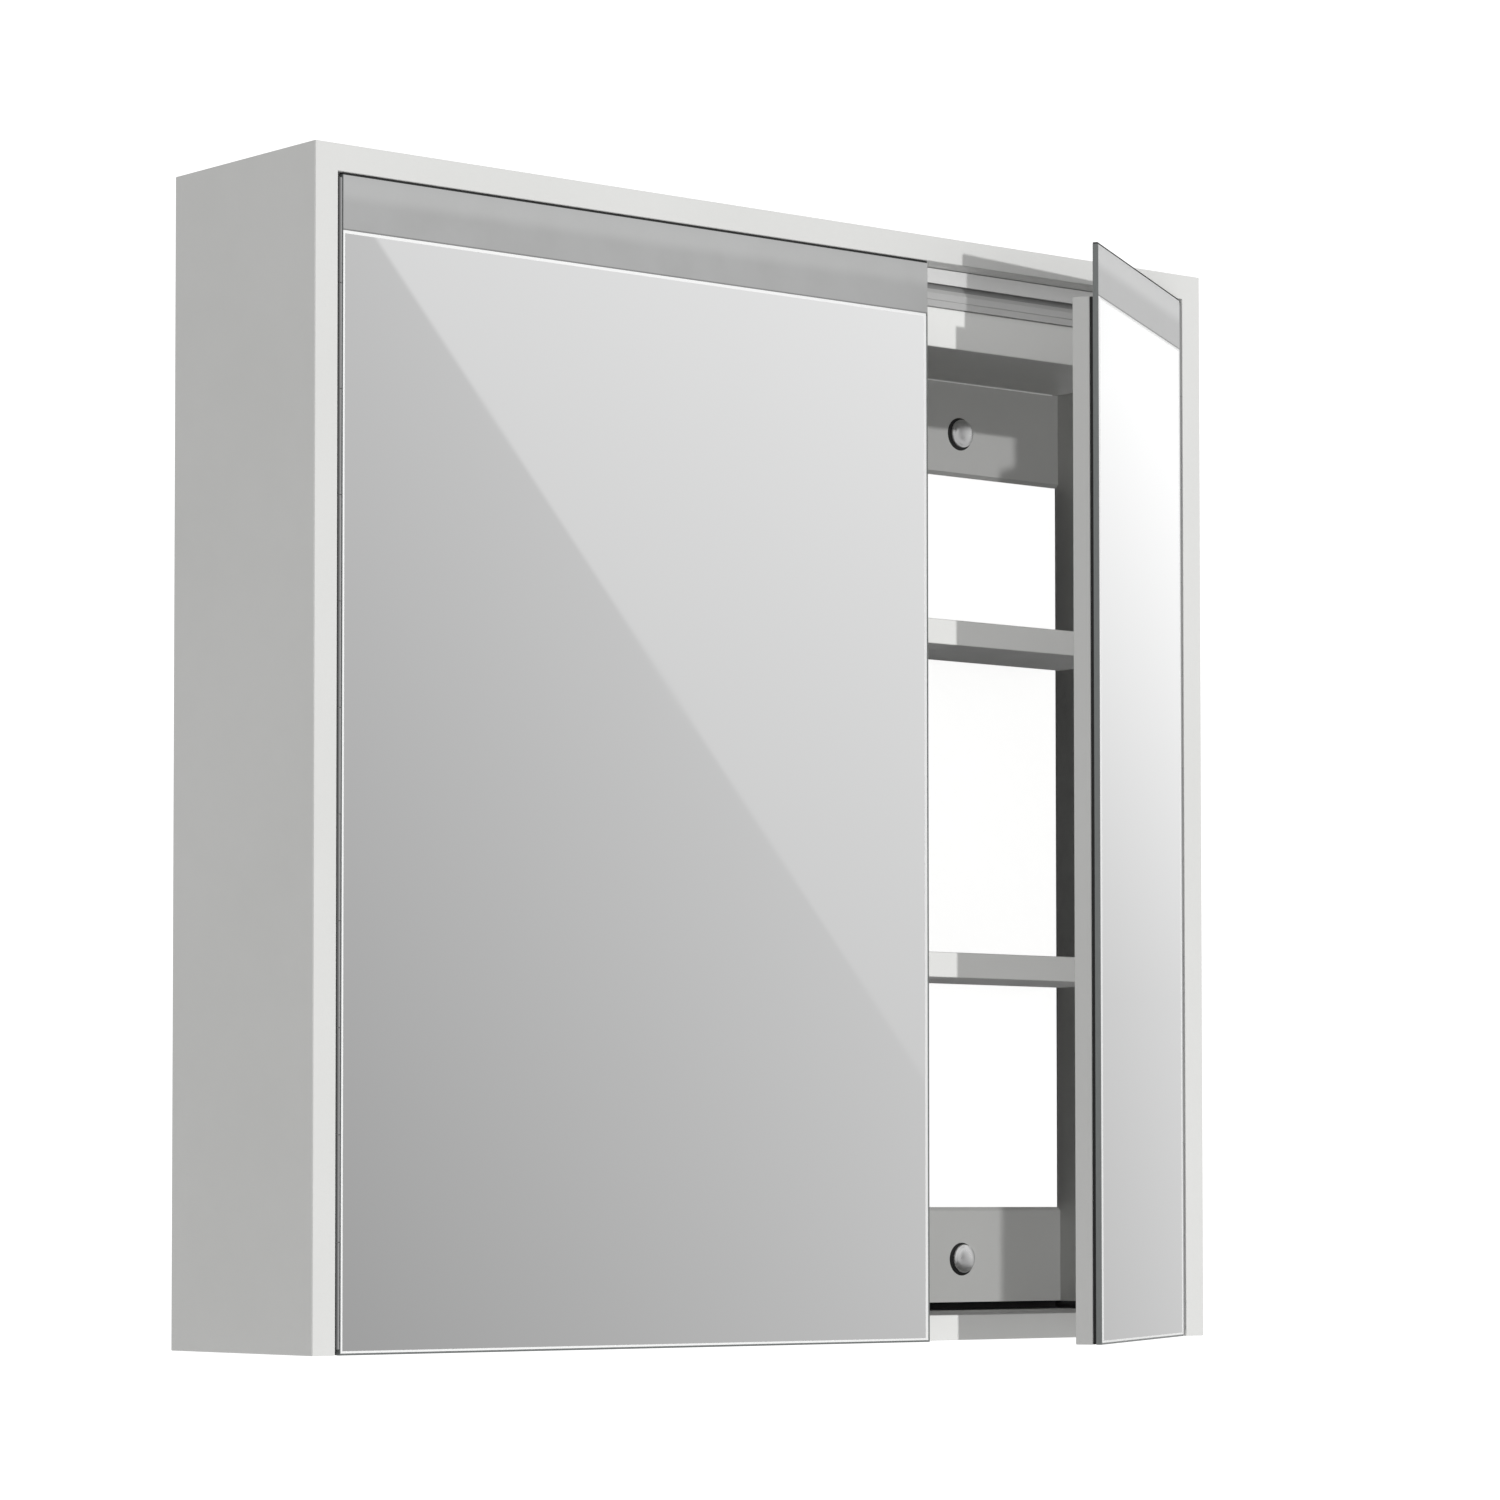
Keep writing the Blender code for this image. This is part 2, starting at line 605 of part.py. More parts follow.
def make_hinge(label, side, axis, swing, materials):
    """A continuous hinge: a leaf on the side panel, a leaf on the door's carrier board, and the pin."""
    low, high = HINGE_END, CEILING - HINGE_END
    pitch = (high - low + KNUCKLE_GAP) / KNUCKLES
    stretches = [(low + i * pitch, low + (i + 1) * pitch - KNUCKLE_GAP) for i in range(KNUCKLES)]
    door_stretches = [s for s in stretches[1::2] if s[1] < CARRIER_TOP]
    frame_leaf = leaf_mesh(side, stretches[0::2], low, high, f"{label}_hinge_frame_leaf")
    add_object(f"{label}_hinge_frame_leaf", frame_leaf, materials["aluminium"], axis)
    door_leaf = leaf_mesh(-side, door_stretches, door_stretches[0][0], door_stretches[-1][1],
                          f"{label}_hinge_door_leaf")
    add_object(f"{label}_hinge_door_leaf", door_leaf, materials["aluminium"], swing)
    pin = turned([(0.0, low), (PIN_RADIUS, low), (PIN_RADIUS, high), (0.0, high)], (0, 0, 1), 10,
                 f"{label}_hinge_pin")
    add_object(f"{label}_hinge_pin", pin, materials["steel"], axis)


def make_door(label, side, width, rest_angle, materials, cabinet):
    """A mirror pane bonded with foam tape to a carrier board, hung on a continuous hinge.

    The pane stands above the board by the height of its satin band, which the light shines through.
    """
    inner = INNER_LEFT if side == 1 else INNER_RIGHT
    place = Vector((inner + side * AXIS_TO_SIDE, HINGE_AXIS_DEPTH, 0.0))
    axis = add_empty(f"{label}_hinge_axis", place, cabinet)
    swing = add_empty(f"{label}_door_swing", place, cabinet, angle=-side * math.radians(rest_angle))
    u = (HINGE_GAP - AXIS_TO_SIDE, HINGE_GAP - AXIS_TO_SIDE + width)
    front = -HINGE_AXIS_DEPTH
    hinge_box(f"{label}_mirror_pane", side, u, (front, front + PANE), (0.0, DOOR_TOP),
              materials["mirror"], swing)
    tape_front, tape_rear = front + PANE + GAP, front + PANE + TAPE - GAP
    x = sorted(side * value for value in u)
    tape = ring_mesh((x[0] + GAP, tape_front, GAP), (x[1] - GAP, tape_rear, CARRIER_TOP - GAP),
                     TAPE_WIDTH, f"{label}_mounting_tape")
    add_object(f"{label}_mounting_tape", tape, materials["tape"], swing)
    rear = front + DOOR_THICKNESS
    hinge_box(f"{label}_carrier_board", side, u, (rear - CARRIER, rear), (0.0, CARRIER_TOP),
              materials["melamine"], swing, rounding=EDGE_ROUND)
    bumper = turned(
        [(0.0, rear + GAP), (BUMPER_RADIUS, rear + GAP),
         (BUMPER_TIP_RADIUS, rear + DOOR_STOP_GAP - GAP), (0.0, rear + DOOR_STOP_GAP - GAP)],
        (0, 1, 0), 12, "bumper",
    )
    heights = {"upper": (CARRIER_TOP + LIGHT_SHELF_BOTTOM) / 2, "lower": BOARD / 2}
    for row, height in heights.items():
        obj = add_object(f"{label}_{row}_bumper", bumper.copy(), materials["bumper"], swing)
        obj.location = (side * (u[1] - BUMPER_INSET), 0.0, height)
    make_hinge(label, side, axis, swing, materials)


def clear_scene():
    for obj in list(bpy.data.objects):
        bpy.data.objects.remove(obj, do_unlink=True)


def main():
    clear_scene()
    materials = make_materials()
    cabinet = add_empty("wall_mount", -ORIGIN_IN_CABINET, None)
    make_carcass(materials, cabinet)
    make_wall_fixings(materials, cabinet)
    make_shelves(materials, cabinet)
    make_light(materials, cabinet)
    make_door("left", 1, WIDE_DOOR, LEFT_REST_ANGLE, materials, cabinet)
    make_door("right", -1, NARROW_DOOR, RIGHT_REST_ANGLE, materials, cabinet)


main()
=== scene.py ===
"""Looks for the wall-hung mirror cabinet: glass, boards, light, hinges and studio.

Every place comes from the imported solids. Lengths are in metres, in the row frame: X to the right,
Y into the wall, Z up, and the doors face -Y.
"""

import json
import math

import bpy
import numpy as np
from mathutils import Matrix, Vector

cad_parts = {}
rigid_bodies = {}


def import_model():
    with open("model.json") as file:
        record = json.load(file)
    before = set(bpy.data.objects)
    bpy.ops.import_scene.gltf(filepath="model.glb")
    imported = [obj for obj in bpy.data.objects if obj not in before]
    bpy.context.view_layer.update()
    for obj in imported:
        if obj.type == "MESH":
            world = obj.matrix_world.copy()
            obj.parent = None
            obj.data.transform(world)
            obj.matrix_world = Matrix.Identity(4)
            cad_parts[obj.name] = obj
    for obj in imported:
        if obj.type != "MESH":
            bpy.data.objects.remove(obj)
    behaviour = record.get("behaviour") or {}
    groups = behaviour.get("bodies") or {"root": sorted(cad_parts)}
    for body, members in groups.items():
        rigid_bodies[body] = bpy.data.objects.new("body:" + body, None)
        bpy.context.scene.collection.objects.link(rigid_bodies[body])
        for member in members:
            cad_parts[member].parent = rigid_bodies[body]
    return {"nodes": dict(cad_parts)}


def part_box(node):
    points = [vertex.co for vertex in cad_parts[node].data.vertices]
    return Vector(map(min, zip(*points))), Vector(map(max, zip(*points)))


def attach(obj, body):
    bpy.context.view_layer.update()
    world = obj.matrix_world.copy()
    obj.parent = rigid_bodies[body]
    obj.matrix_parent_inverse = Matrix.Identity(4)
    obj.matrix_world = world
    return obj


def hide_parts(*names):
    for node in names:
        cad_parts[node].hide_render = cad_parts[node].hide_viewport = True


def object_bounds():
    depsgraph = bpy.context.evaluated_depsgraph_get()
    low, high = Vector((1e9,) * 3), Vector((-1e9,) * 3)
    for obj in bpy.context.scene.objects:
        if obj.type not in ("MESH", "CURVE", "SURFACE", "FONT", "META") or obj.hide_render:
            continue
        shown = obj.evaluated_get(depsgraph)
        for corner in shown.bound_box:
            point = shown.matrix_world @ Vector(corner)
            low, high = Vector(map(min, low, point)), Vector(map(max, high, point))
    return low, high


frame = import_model()
CAD_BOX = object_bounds()
NODES = frame["nodes"]

RIGHT_DOOR_ANGLE = math.radians(31.9)
HINGE_AXES = {"left": Vector((-0.380, -0.159, 0.0)), "right": Vector((0.380, -0.159, 0.0))}
SIDES = {"left": 1, "right": -1}


# Shader building


def socket_input(tree, socket, value):
    if isinstance(value, bpy.types.NodeSocket):
        tree.links.new(value, socket)
    else:
        socket.default_value = value


def add(tree, kind, settings=None, **inputs):
    """A shader node; inputs go by socket name with _ for a space, or by number as in0, in1."""
    node = tree.nodes.new("ShaderNode" + kind)
    for key, value in (settings or {}).items():
        setattr(node, key, value)
    for key, value in inputs.items():
        name = int(key[2:]) if key[2:].isdigit() and key[:2] == "in" else key.replace("_", " ")
        socket_input(tree, node.inputs[name], value)
    return node


def maths(tree, operation, a, b=0.0, c=0.0, clamp=False):
    node = add(tree, "Math", {"operation": operation, "use_clamp": clamp}, in0=a, in1=b, in2=c)
    return node.outputs[0]


def vector_dot(tree, vector, direction):
    node = add(tree, "VectorMath", {"operation": "DOT_PRODUCT"}, in0=vector, in1=tuple(direction))
    return node.outputs["Value"]


def ramp(tree, value, low, high, out_low, out_high, course="SMOOTHSTEP"):
    settings = {"clamp": True, "interpolation_type": course}
    node = add(tree, "MapRange", settings, Value=value, From_Min=low, From_Max=high, To_Min=out_low,
               To_Max=out_high)
    return node.outputs["Result"]


def noise(tree, place, scale, detail=3.0, rough=0.5):
    node = add(tree, "TexNoise", None, Vector=place, Scale=scale, Detail=detail, Roughness=rough)
    return node.outputs["Fac"]


def blend(tree, factor, first, second):
    """Colour between two, each a tuple of three numbers or a socket."""
    colors = [(*c, 1.0) if isinstance(c, tuple) else c for c in (first, second)]
    node = add(tree, "Mix", {"data_type": "RGBA"}, in0=factor, in6=colors[0], in7=colors[1])
    return node.outputs[2]


def new_finish(name, roughness, metallic=0.0, ior=1.5, **constants):
    """A material whose plain numbers sit on the shader's own sockets."""
    material = bpy.data.materials.new(name)
    material.use_nodes = True
    tree = material.node_tree
    shader = tree.nodes["Principled BSDF"]
    shader.inputs["Roughness"].default_value = roughness
    shader.inputs["Metallic"].default_value = metallic
    shader.inputs["IOR"].default_value = ior
    for key, value in constants.items():
        shader.inputs[key.replace("_", " ")].default_value = value
    place = add(tree, "TexCoord").outputs["Object"]
    return material, tree, shader, place


def stretched(tree, place, scale):
    return add(tree, "Mapping", None, Vector=place, Scale=scale).outputs["Vector"]


def bump(tree, shader, height, strength, distance):
    node = add(tree, "Bump", None, Height=height, Strength=strength, Distance=distance)
    tree.links.new(node.outputs["Normal"], shader.inputs["Normal"])


def link_color(tree, shader, color):
    tree.links.new(color, shader.inputs["Base Color"])


def link_roughness(tree, shader, value):
    tree.links.new(value, shader.inputs["Roughness"])


# Finishes


def melamine():
    """White melamine face: a fine pearl grain, faint clouding and a slightly uneven sheen."""
    material, tree, shader, place = new_finish("white_melamine_face", 0.45, Specular_IOR_Level=0.2)
    cloud = noise(tree, place, 5.0, 4.0)
    grain = noise(tree, place, 1400.0, 2.0)
    mottle = ramp(tree, cloud, 0.3, 0.7, 0.0, 1.0)
    base = blend(tree, mottle, (0.762, 0.764, 0.748), (0.785, 0.786, 0.772))
    specks = ramp(tree, grain, 0.35, 0.75, 0.0, 0.05)
    link_color(tree, shader, blend(tree, specks, base, (0.66, 0.66, 0.65)))
    link_roughness(tree, shader, ramp(tree, noise(tree, place, 40.0), 0.3, 0.7, 0.40, 0.50))
    bump(tree, shader, grain, 0.12, 0.0004)
    return material


def back_board():
    """Lacquered board with a very fine orange peel. Its front face has a painted glow, though it is no lamp;
    its rear does not glow.
    """
    material, tree, shader, place = new_finish("bright_back_board", 0.35, Emission_Strength=0.95)
    cloud = noise(tree, place, 7.0, 3.0)
    tone = blend(tree, cloud, (0.93, 0.93, 0.925), (0.955, 0.955, 0.95))
    link_color(tree, shader, tone)
    low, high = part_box("back_panel")
    depth = add(tree, "SeparateXYZ", None, Vector=place).outputs["Y"]
    rear = ramp(tree, depth, low.y + 0.0005, high.y - 0.0005, 0.0, 1.0)
    # Painted glow: the front face shines white and the rear stays dark.
    tree.links.new(blend(tree, rear, tone, (0.0, 0.0, 0.0)), shader.inputs["Emission Color"])
    bump(tree, shader, noise(tree, place, 600.0, 2.0), 0.08, 0.0003)
    material.cycles.emission_sampling = "NONE"
    return material


def silvered():
    """Silvered float glass with a breath of haze."""
    material, tree, shader, place = new_finish("silvered_glass_face", 0.02, metallic=1.0)
    cloud = noise(tree, place, 3.0, 2.0)
    link_color(tree, shader, blend(tree, cloud, (0.955, 0.958, 0.958), (0.97, 0.972, 0.972)))
    link_roughness(tree, shader, ramp(tree, noise(tree, place, 9.0, 5.0), 0.35, 0.75, 0.008, 0.02))
    return material


def satin_band(name, upper, lower):
    """Etched glass with the lamp behind it painted in: painted light above, a painted soft grey shade below,
    a fine grain, and a darker line where it meets the silver."""
    material, tree, shader, place = new_finish(name, 0.42, ior=1.5)
    down = add(tree, "SeparateXYZ", None, Vector=add(tree, "UVMap", {"uv_map": "glass"}).outputs[0])
    depth = down.outputs["Y"]
    # Painted lamp light: lighter above, fading to a painted grey shade below.
    soft = blend(tree, ramp(tree, depth, 0.010, 0.020, 0.0, 1.0), upper, lower)
    cloud = noise(tree, place, 30.0, 3.0)
    veined = maths(tree, "MULTIPLY", ramp(tree, cloud, 0.3, 0.7, 0.0, 1.0), 0.10)
    lit = blend(tree, veined, soft, (0.62, 0.63, 0.64))
    edge = ramp(tree, depth, 0.0, 0.006, 0.05, 0.0)
    rimmed = blend(tree, edge, lit, (0.2, 0.2, 0.2))
    foot = ramp(tree, depth, BAND - 0.0014, BAND - 0.0006, 0.0, 0.6)
    link_color(tree, shader, blend(tree, foot, rimmed, (0.12, 0.12, 0.12)))
    grain = noise(tree, place, 2500.0, 2.0)
    link_roughness(tree, shader, ramp(tree, grain, 0.3, 0.7, 0.36, 0.48))
    bump(tree, shader, grain, 0.2, 0.0002)
    return material


def polished_line():
    """The bright ground line along the mirror's border."""
    material, tree, shader, place = new_finish("ground_line", 0.25)
    fine = noise(tree, stretched(tree, place, (60.0, 60.0, 60.0)), 8.0, 3.0)
    link_color(tree, shader, blend(tree, fine, (0.96, 0.965, 0.96), (0.985, 0.985, 0.985)))
    bump(tree, shader, fine, 0.1, 0.0001)
    return material


def glass_edge():
    """The sawn and seamed edge of float glass: grey green, with fine grinding marks."""
    material, tree, shader, place = new_finish("glass_edge", 0.3)
    marks = noise(tree, stretched(tree, place, (1.0, 1.0, 0.05)), 3000.0, 2.0)
    link_color(tree, shader, blend(tree, marks, (0.14, 0.15, 0.148), (0.20, 0.21, 0.208)))
    bump(tree, shader, marks, 0.15, 0.0002)
    return material


def mirror_backing():
    """Grey protective paint on the back of the mirror."""
    material, tree, shader, place = new_finish("backing_paint", 0.5)
    cloud = noise(tree, place, 60.0, 4.0)
    link_color(tree, shader, blend(tree, cloud, (0.16, 0.165, 0.17), (0.2, 0.2, 0.205)))
    bump(tree, shader, noise(tree, place, 900.0), 0.15, 0.0003)
    return material


def foam():
    """Black closed-cell foam with open pores."""
    material, tree, shader, place = new_finish("black_closed_cell_foam", 0.9)
    cells = add(tree, "TexVoronoi", None, Vector=place, Scale=1600.0).outputs["Distance"]
    link_color(tree, shader, blend(tree, cells, (0.006, 0.006, 0.006), (0.022, 0.022, 0.022)))
    bump(tree, shader, cells, 0.5, 0.0004)
    return material


def aluminium(name, lines, color, roughness, metallic):
    """Satin anodised or lacquered extrusion: fine draw lines along its length."""
    material, tree, shader, place = new_finish(name, roughness, metallic=metallic)
    drawn = noise(tree, stretched(tree, place, lines), 6000.0, 3.0)
    cloud = noise(tree, place, 12.0)
    darker, lighter = tuple(0.94 * c for c in color), tuple(1.06 * c for c in color)
    link_color(tree, shader, blend(tree, cloud, darker, lighter))
    link_roughness(tree, shader, ramp(tree, drawn, 0.3, 0.7, roughness - 0.04, roughness + 0.12))
    bump(tree, shader, drawn, 0.15, 0.0002)
    return material


# Distances from the cabinet's middle over which the hinge leaf's painted shade goes from light grey to nearly
# black.
WORN, DARK = 0.3788, 0.3818


def hinge_leaf():
    """Dark anodised leaf with painted shade across it: the lightness falls from a light grey near the
    cabinet's middle to nearly black towards its side panel, between two set distances from that middle, and
    fine draw lines run up it."""
    material, tree, shader, place = new_finish("worn_dark_hinge_leaf", 0.5, metallic=0.3)
    out = maths(tree, "ABSOLUTE", add(tree, "SeparateXYZ", None, Vector=place).outputs["X"])
    # Painted shade: light grey towards the opening, nearly black towards the side panel.
    painted_light_share = ramp(tree, out, WORN, DARK, 1.0, 0.0)
    drawn = noise(tree, stretched(tree, place, ALONG_Z), 6000.0, 3.0)
    link_color(tree, shader, blend(tree, painted_light_share, (0.045, 0.045, 0.045), (0.50, 0.50, 0.50)))
    link_roughness(tree, shader, ramp(tree, drawn, 0.3, 0.7, 0.46, 0.62))
    bump(tree, shader, drawn, 0.15, 0.0002)
    return material


def plated(name, color, roughness, scale):
    """Plated metal with faint smudges and polishing marks."""
    material, tree, shader, place = new_finish(name, roughness, metallic=1.0)
    smudge = noise(tree, place, scale, 4.0)
    darker = tuple(0.86 * c for c in color)
    link_color(tree, shader, blend(tree, smudge, darker, color))
    link_roughness(tree, shader, ramp(tree, smudge, 0.3, 0.7, roughness, roughness + 0.12))
    bump(tree, shader, noise(tree, place, 2500.0), 0.06, 0.0002)
    return material


def moulded(name, color, roughness, grain_scale=1500.0, **constants):
    """Moulded plastic with a spark-eroded grain."""
    material, tree, shader, place = new_finish(name, roughness, **constants)
    cloud = noise(tree, place, 20.0)
    lighter = tuple(min(1.0, 1.04 * c) for c in color)
    link_color(tree, shader, blend(tree, cloud, color, lighter))
    grain = noise(tree, place, grain_scale, 3.0)
    link_roughness(tree, shader, ramp(tree, grain, 0.3, 0.7, roughness - 0.04, roughness + 0.06))
    bump(tree, shader, grain, 0.25, 0.0003)
    return material


PAD_PITCH = 0.05
PAD_SHARE = 0.06


def circuit_strip():
    """White printed board with copper pads at a steady pitch, each a small share of the pitch wide."""
    material, tree, shader, place = new_finish("printed_light_strip", 0.4)
    along = add(tree, "SeparateXYZ", None, Vector=place).outputs["X"]
    phase = maths(tree, "FRACT", maths(tree, "MULTIPLY", along, 1 / PAD_PITCH))
    from_pad = maths(tree, "ABSOLUTE", maths(tree, "SUBTRACT", phase, 0.5))
    pad = maths(tree, "LESS_THAN", from_pad, PAD_SHARE / 2)
    link_color(tree, shader, blend(tree, pad, (0.84, 0.84, 0.80), (0.62, 0.35, 0.14)))
    bump(tree, shader, noise(tree, place, 900.0), 0.1, 0.0002)
    return material


def fillet_painted_glow():
    """White lacquer in the light shelf's joint, with a painted glow as if a little of the lamp bay's light
    shone through; it is no lamp.
    """
    material, tree, shader, place = new_finish("lit_joint_fillet", 0.5, Emission_Strength=0.2)
    tone = blend(tree, noise(tree, place, 500.0, 2.0), (0.84, 0.84, 0.83), (0.92, 0.92, 0.91))
    link_color(tree, shader, tone)
    tree.links.new(tone, shader.inputs["Emission Color"])
    bump(tree, shader, noise(tree, place, 900.0), 0.1, 0.0002)
    material.cycles.emission_sampling = "NONE"
    return material


def floor_finish():
    material, tree, shader, place = new_finish("pale_floor", 0.7, Emission_Strength=0.16)
    tone = blend(tree, noise(tree, place, 0.6), (0.80, 0.80, 0.80), (0.83, 0.83, 0.83))
    link_color(tree, shader, tone)
    tree.links.new(tone, shader.inputs["Emission Color"])
    return material


BOARD = melamine()
FOAM = foam()
STEEL = plated("zinc_plated_steel", (0.62, 0.62, 0.61), 0.28, 90.0)
CHROME = plated("satin_chrome", (0.80, 0.80, 0.80), 0.26, 160.0)
ALONG_X, ALONG_Z = (0.004, 1.0, 1.0), (1.0, 1.0, 0.004)
LAMP_METAL = aluminium("silver_lacquered_lamp_body", ALONG_X, (0.56, 0.56, 0.555), 0.40, 0.15)
LEAF_METAL = hinge_leaf()
HOUSING = moulded("white_moulded_housing", (0.78, 0.78, 0.77), 0.5)
OPAL = moulded("opal_diffuser_face", (0.80, 0.80, 0.795), 0.45, 700.0)
RUBBER = moulded("black_rubber", (0.012, 0.012, 0.012), 0.6, 1800.0)
REFLECTOR = moulded("grey_reflector", (0.30, 0.30, 0.30), 0.5, 900.0)
LEAD = moulded("black_flexible_lead", (0.02, 0.02, 0.021), 0.45, 2500.0)
SILICONE = moulded("clear_silicone", (0.80, 0.81, 0.81), 0.2, 500.0, Transmission_Weight=0.6)


def finish_for(node):
    """The finish of a carried-over CAD node, by the first matching part of its name."""
    table = (
        ("back_panel", back), ("sealing_strip", FOAM), ("mounting_tape", FOAM), ("bush", STEEL),
        ("end_cap", HOUSING), ("light_body", LAMP_METAL), ("light_diffuser", OPAL),
        ("light_strip", strip_board), ("driver", HOUSING), ("terminal_lead", LEAD), ("strip_lead", LEAD),
        ("terminal", HOUSING), ("hinge_pin", STEEL), ("leaf", LEAF_METAL), ("peg", STEEL),
        ("cap", CHROME), ("bumper", SILICONE),
    )
    return next((finish for part, finish in table if part in node), BOARD)


back, strip_board = back_board(), circuit_strip()
for node_name, node_object in NODES.items():
    for material_slot in node_object.material_slots:
        material_slot.link = "OBJECT"
        material_slot.material = finish_for(node_name)


# Surfaces


def mesh_piece(name, points, quads, materials, body, replaced=(), indices=None, smooth=True):
    """A piece from an array of points and an array of quads (a repeated corner makes a triangle)."""
    mesh = bpy.data.meshes.new(name)
    faces = [tuple(dict.fromkeys(quad)) for quad in quads.tolist()]
    mesh.from_pydata(points.tolist(), [], faces)
    for material in materials:
        mesh.materials.append(material)
    if indices is not None:
        mesh.polygons.foreach_set("material_index", indices.astype(np.int32))
    mesh.polygons.foreach_set("use_smooth", np.full(len(faces), smooth))
    if smooth:
        mesh.set_sharp_from_angle(angle=math.radians(40))
    mesh.update()
    piece = bpy.data.objects.new(name, mesh)
    bpy.context.scene.collection.objects.link(piece)
    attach(piece, body)
    if replaced:
        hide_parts(*replaced)
    return piece


def grid_quads(rows, columns, wrap):
    """Quads of a rows by columns grid of points; wrap joins the last column to the first."""
    last = columns if wrap else columns - 1
    i, j = np.meshgrid(np.arange(rows - 1), np.arange(last), indexing="ij")
    k = (j + 1) % columns
    corners = (i * columns + j, i * columns + k, (i + 1) * columns + k, (i + 1) * columns + j)
    return np.stack(corners, -1).reshape(-1, 4)


def share_grid(count):
    """Two shares from -1 to 1 over a square grid of points: the first along rows, the second across."""
    share = np.linspace(-1, 1, count)
    return np.meshgrid(share, share, indexing="ij")


def full_turn(segments):
    return np.linspace(0.0, 2 * np.pi, segments, endpoint=False)


def closed_poles(points, quads, segments):
    """The first and the last ring of points have shrunk to a pole, and each becomes one point."""
    last = len(points) - segments
    quads = np.where(quads < segments, 0, quads)
    quads = np.where(quads >= last, last, quads)
    used, renumbered = np.unique(quads, return_inverse=True)
    return points[used], renumbered.reshape(quads.shape)


def spun(profile, segments):
    """Rings about +Z: at angle a the point is (r cos a, r sin a, h), with (r, h) along the profile."""
    angle = full_turn(segments)
    r, h = profile[:, :1], profile[:, 1:]
    return np.stack(np.broadcast_arrays(r * np.cos(angle), r * np.sin(angle), h), -1)


def turned(profile, segments):
    """Surface of revolution about +Z from a profile whose first and last radius are zero."""
    profile = np.asarray(profile, float)
    points = spun(profile, segments).reshape(-1, 3)
    return closed_poles(points, grid_quads(len(profile), segments, wrap=True), segments)


def ring(profile, segments):
    """A ring turned about +Z from a closed profile of (r, h) that stays clear of the axis."""
    count = len(profile)
    points = spun(np.asarray(profile, float), segments).reshape(-1, 3)
    return points, grid_quads(count + 1, segments, wrap=True) % (segments * count)


def pointed(points, axis):
    """The points turned so that their +Z looks along axis."""
    turn = Vector((0, 0, 1)).rotation_difference(Vector(axis)).to_matrix()
    return points @ np.array(turn).T


def copies(points, quads, places):
    """The same shape at each place, as one array of points and one of quads."""
    places = np.asarray(places, float)
    moved = (points[None] + places[:, None]).reshape(-1, 3)
    joined = (quads[None] + len(points) * np.arange(len(places))[:, None, None]).reshape(-1, 4)
    return moved, joined


def middle(node):
    low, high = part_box(node)
    return (np.array(low) + np.array(high)) / 2


def inner_wall(column):
    """The X of a side panel's face that looks into the cabinet."""
    low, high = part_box(f"{column}_side_panel")
    return high.x if column == "left" else low.x


def arc(r0, h0, r1, h1, steps, bulge):
    """Profile points from (r0, h0) to (r1, h1) on a quarter of an ellipse, bulging outwards first if
    bulge is 1 and upwards first if it is 0."""
    t = np.linspace(0.0, np.pi / 2, steps)
    a, b = (np.sin(t), 1 - np.cos(t)) if bulge else (1 - np.cos(t), np.sin(t))
    return np.stack([r0 + (r1 - r0) * a, h0 + (h1 - h0) * b], -1)


# Doors


def hinge_to_row(side, points):
    """Points (u, v, z) of a door's hinge frame, at rest in the row frame: u runs from the axis into
    the opening, v towards the wall. The right door's are turned open about its axis."""
    u, v, z = np.moveaxis(points, -1, 0)
    x = SIDES[side] * u
    angle = RIGHT_DOOR_ANGLE if side == "right" else 0.0
    axis = HINGE_AXES[side]
    c, s = math.cos(angle), math.sin(angle)
    return np.stack([axis.x + c * x - s * v, axis.y + s * x + c * v, z], -1)


PANE = 0.004
ARRIS = 0.0004
BAND_LINE = 0.0020
BAND = 0.0363
GROOVE = 0.00025
DOOR_FRONT = -0.001
HINGE_SIDE = 0.002
SILVER, SATIN, GROUND, EDGE, PAINT = range(5)
# From each edge of the silver inwards: where the bare glass ends and where the ground line ends.
BORDERS = {
    "left": {"hinge": (ARRIS, 0.0018), "free": (0.0017, 0.0041), "foot": (0.0013, 0.0027)},
    "right": {"hinge": (ARRIS, 0.0044), "free": (ARRIS, 0.0052), "foot": (0.0013, 0.0027)},
}


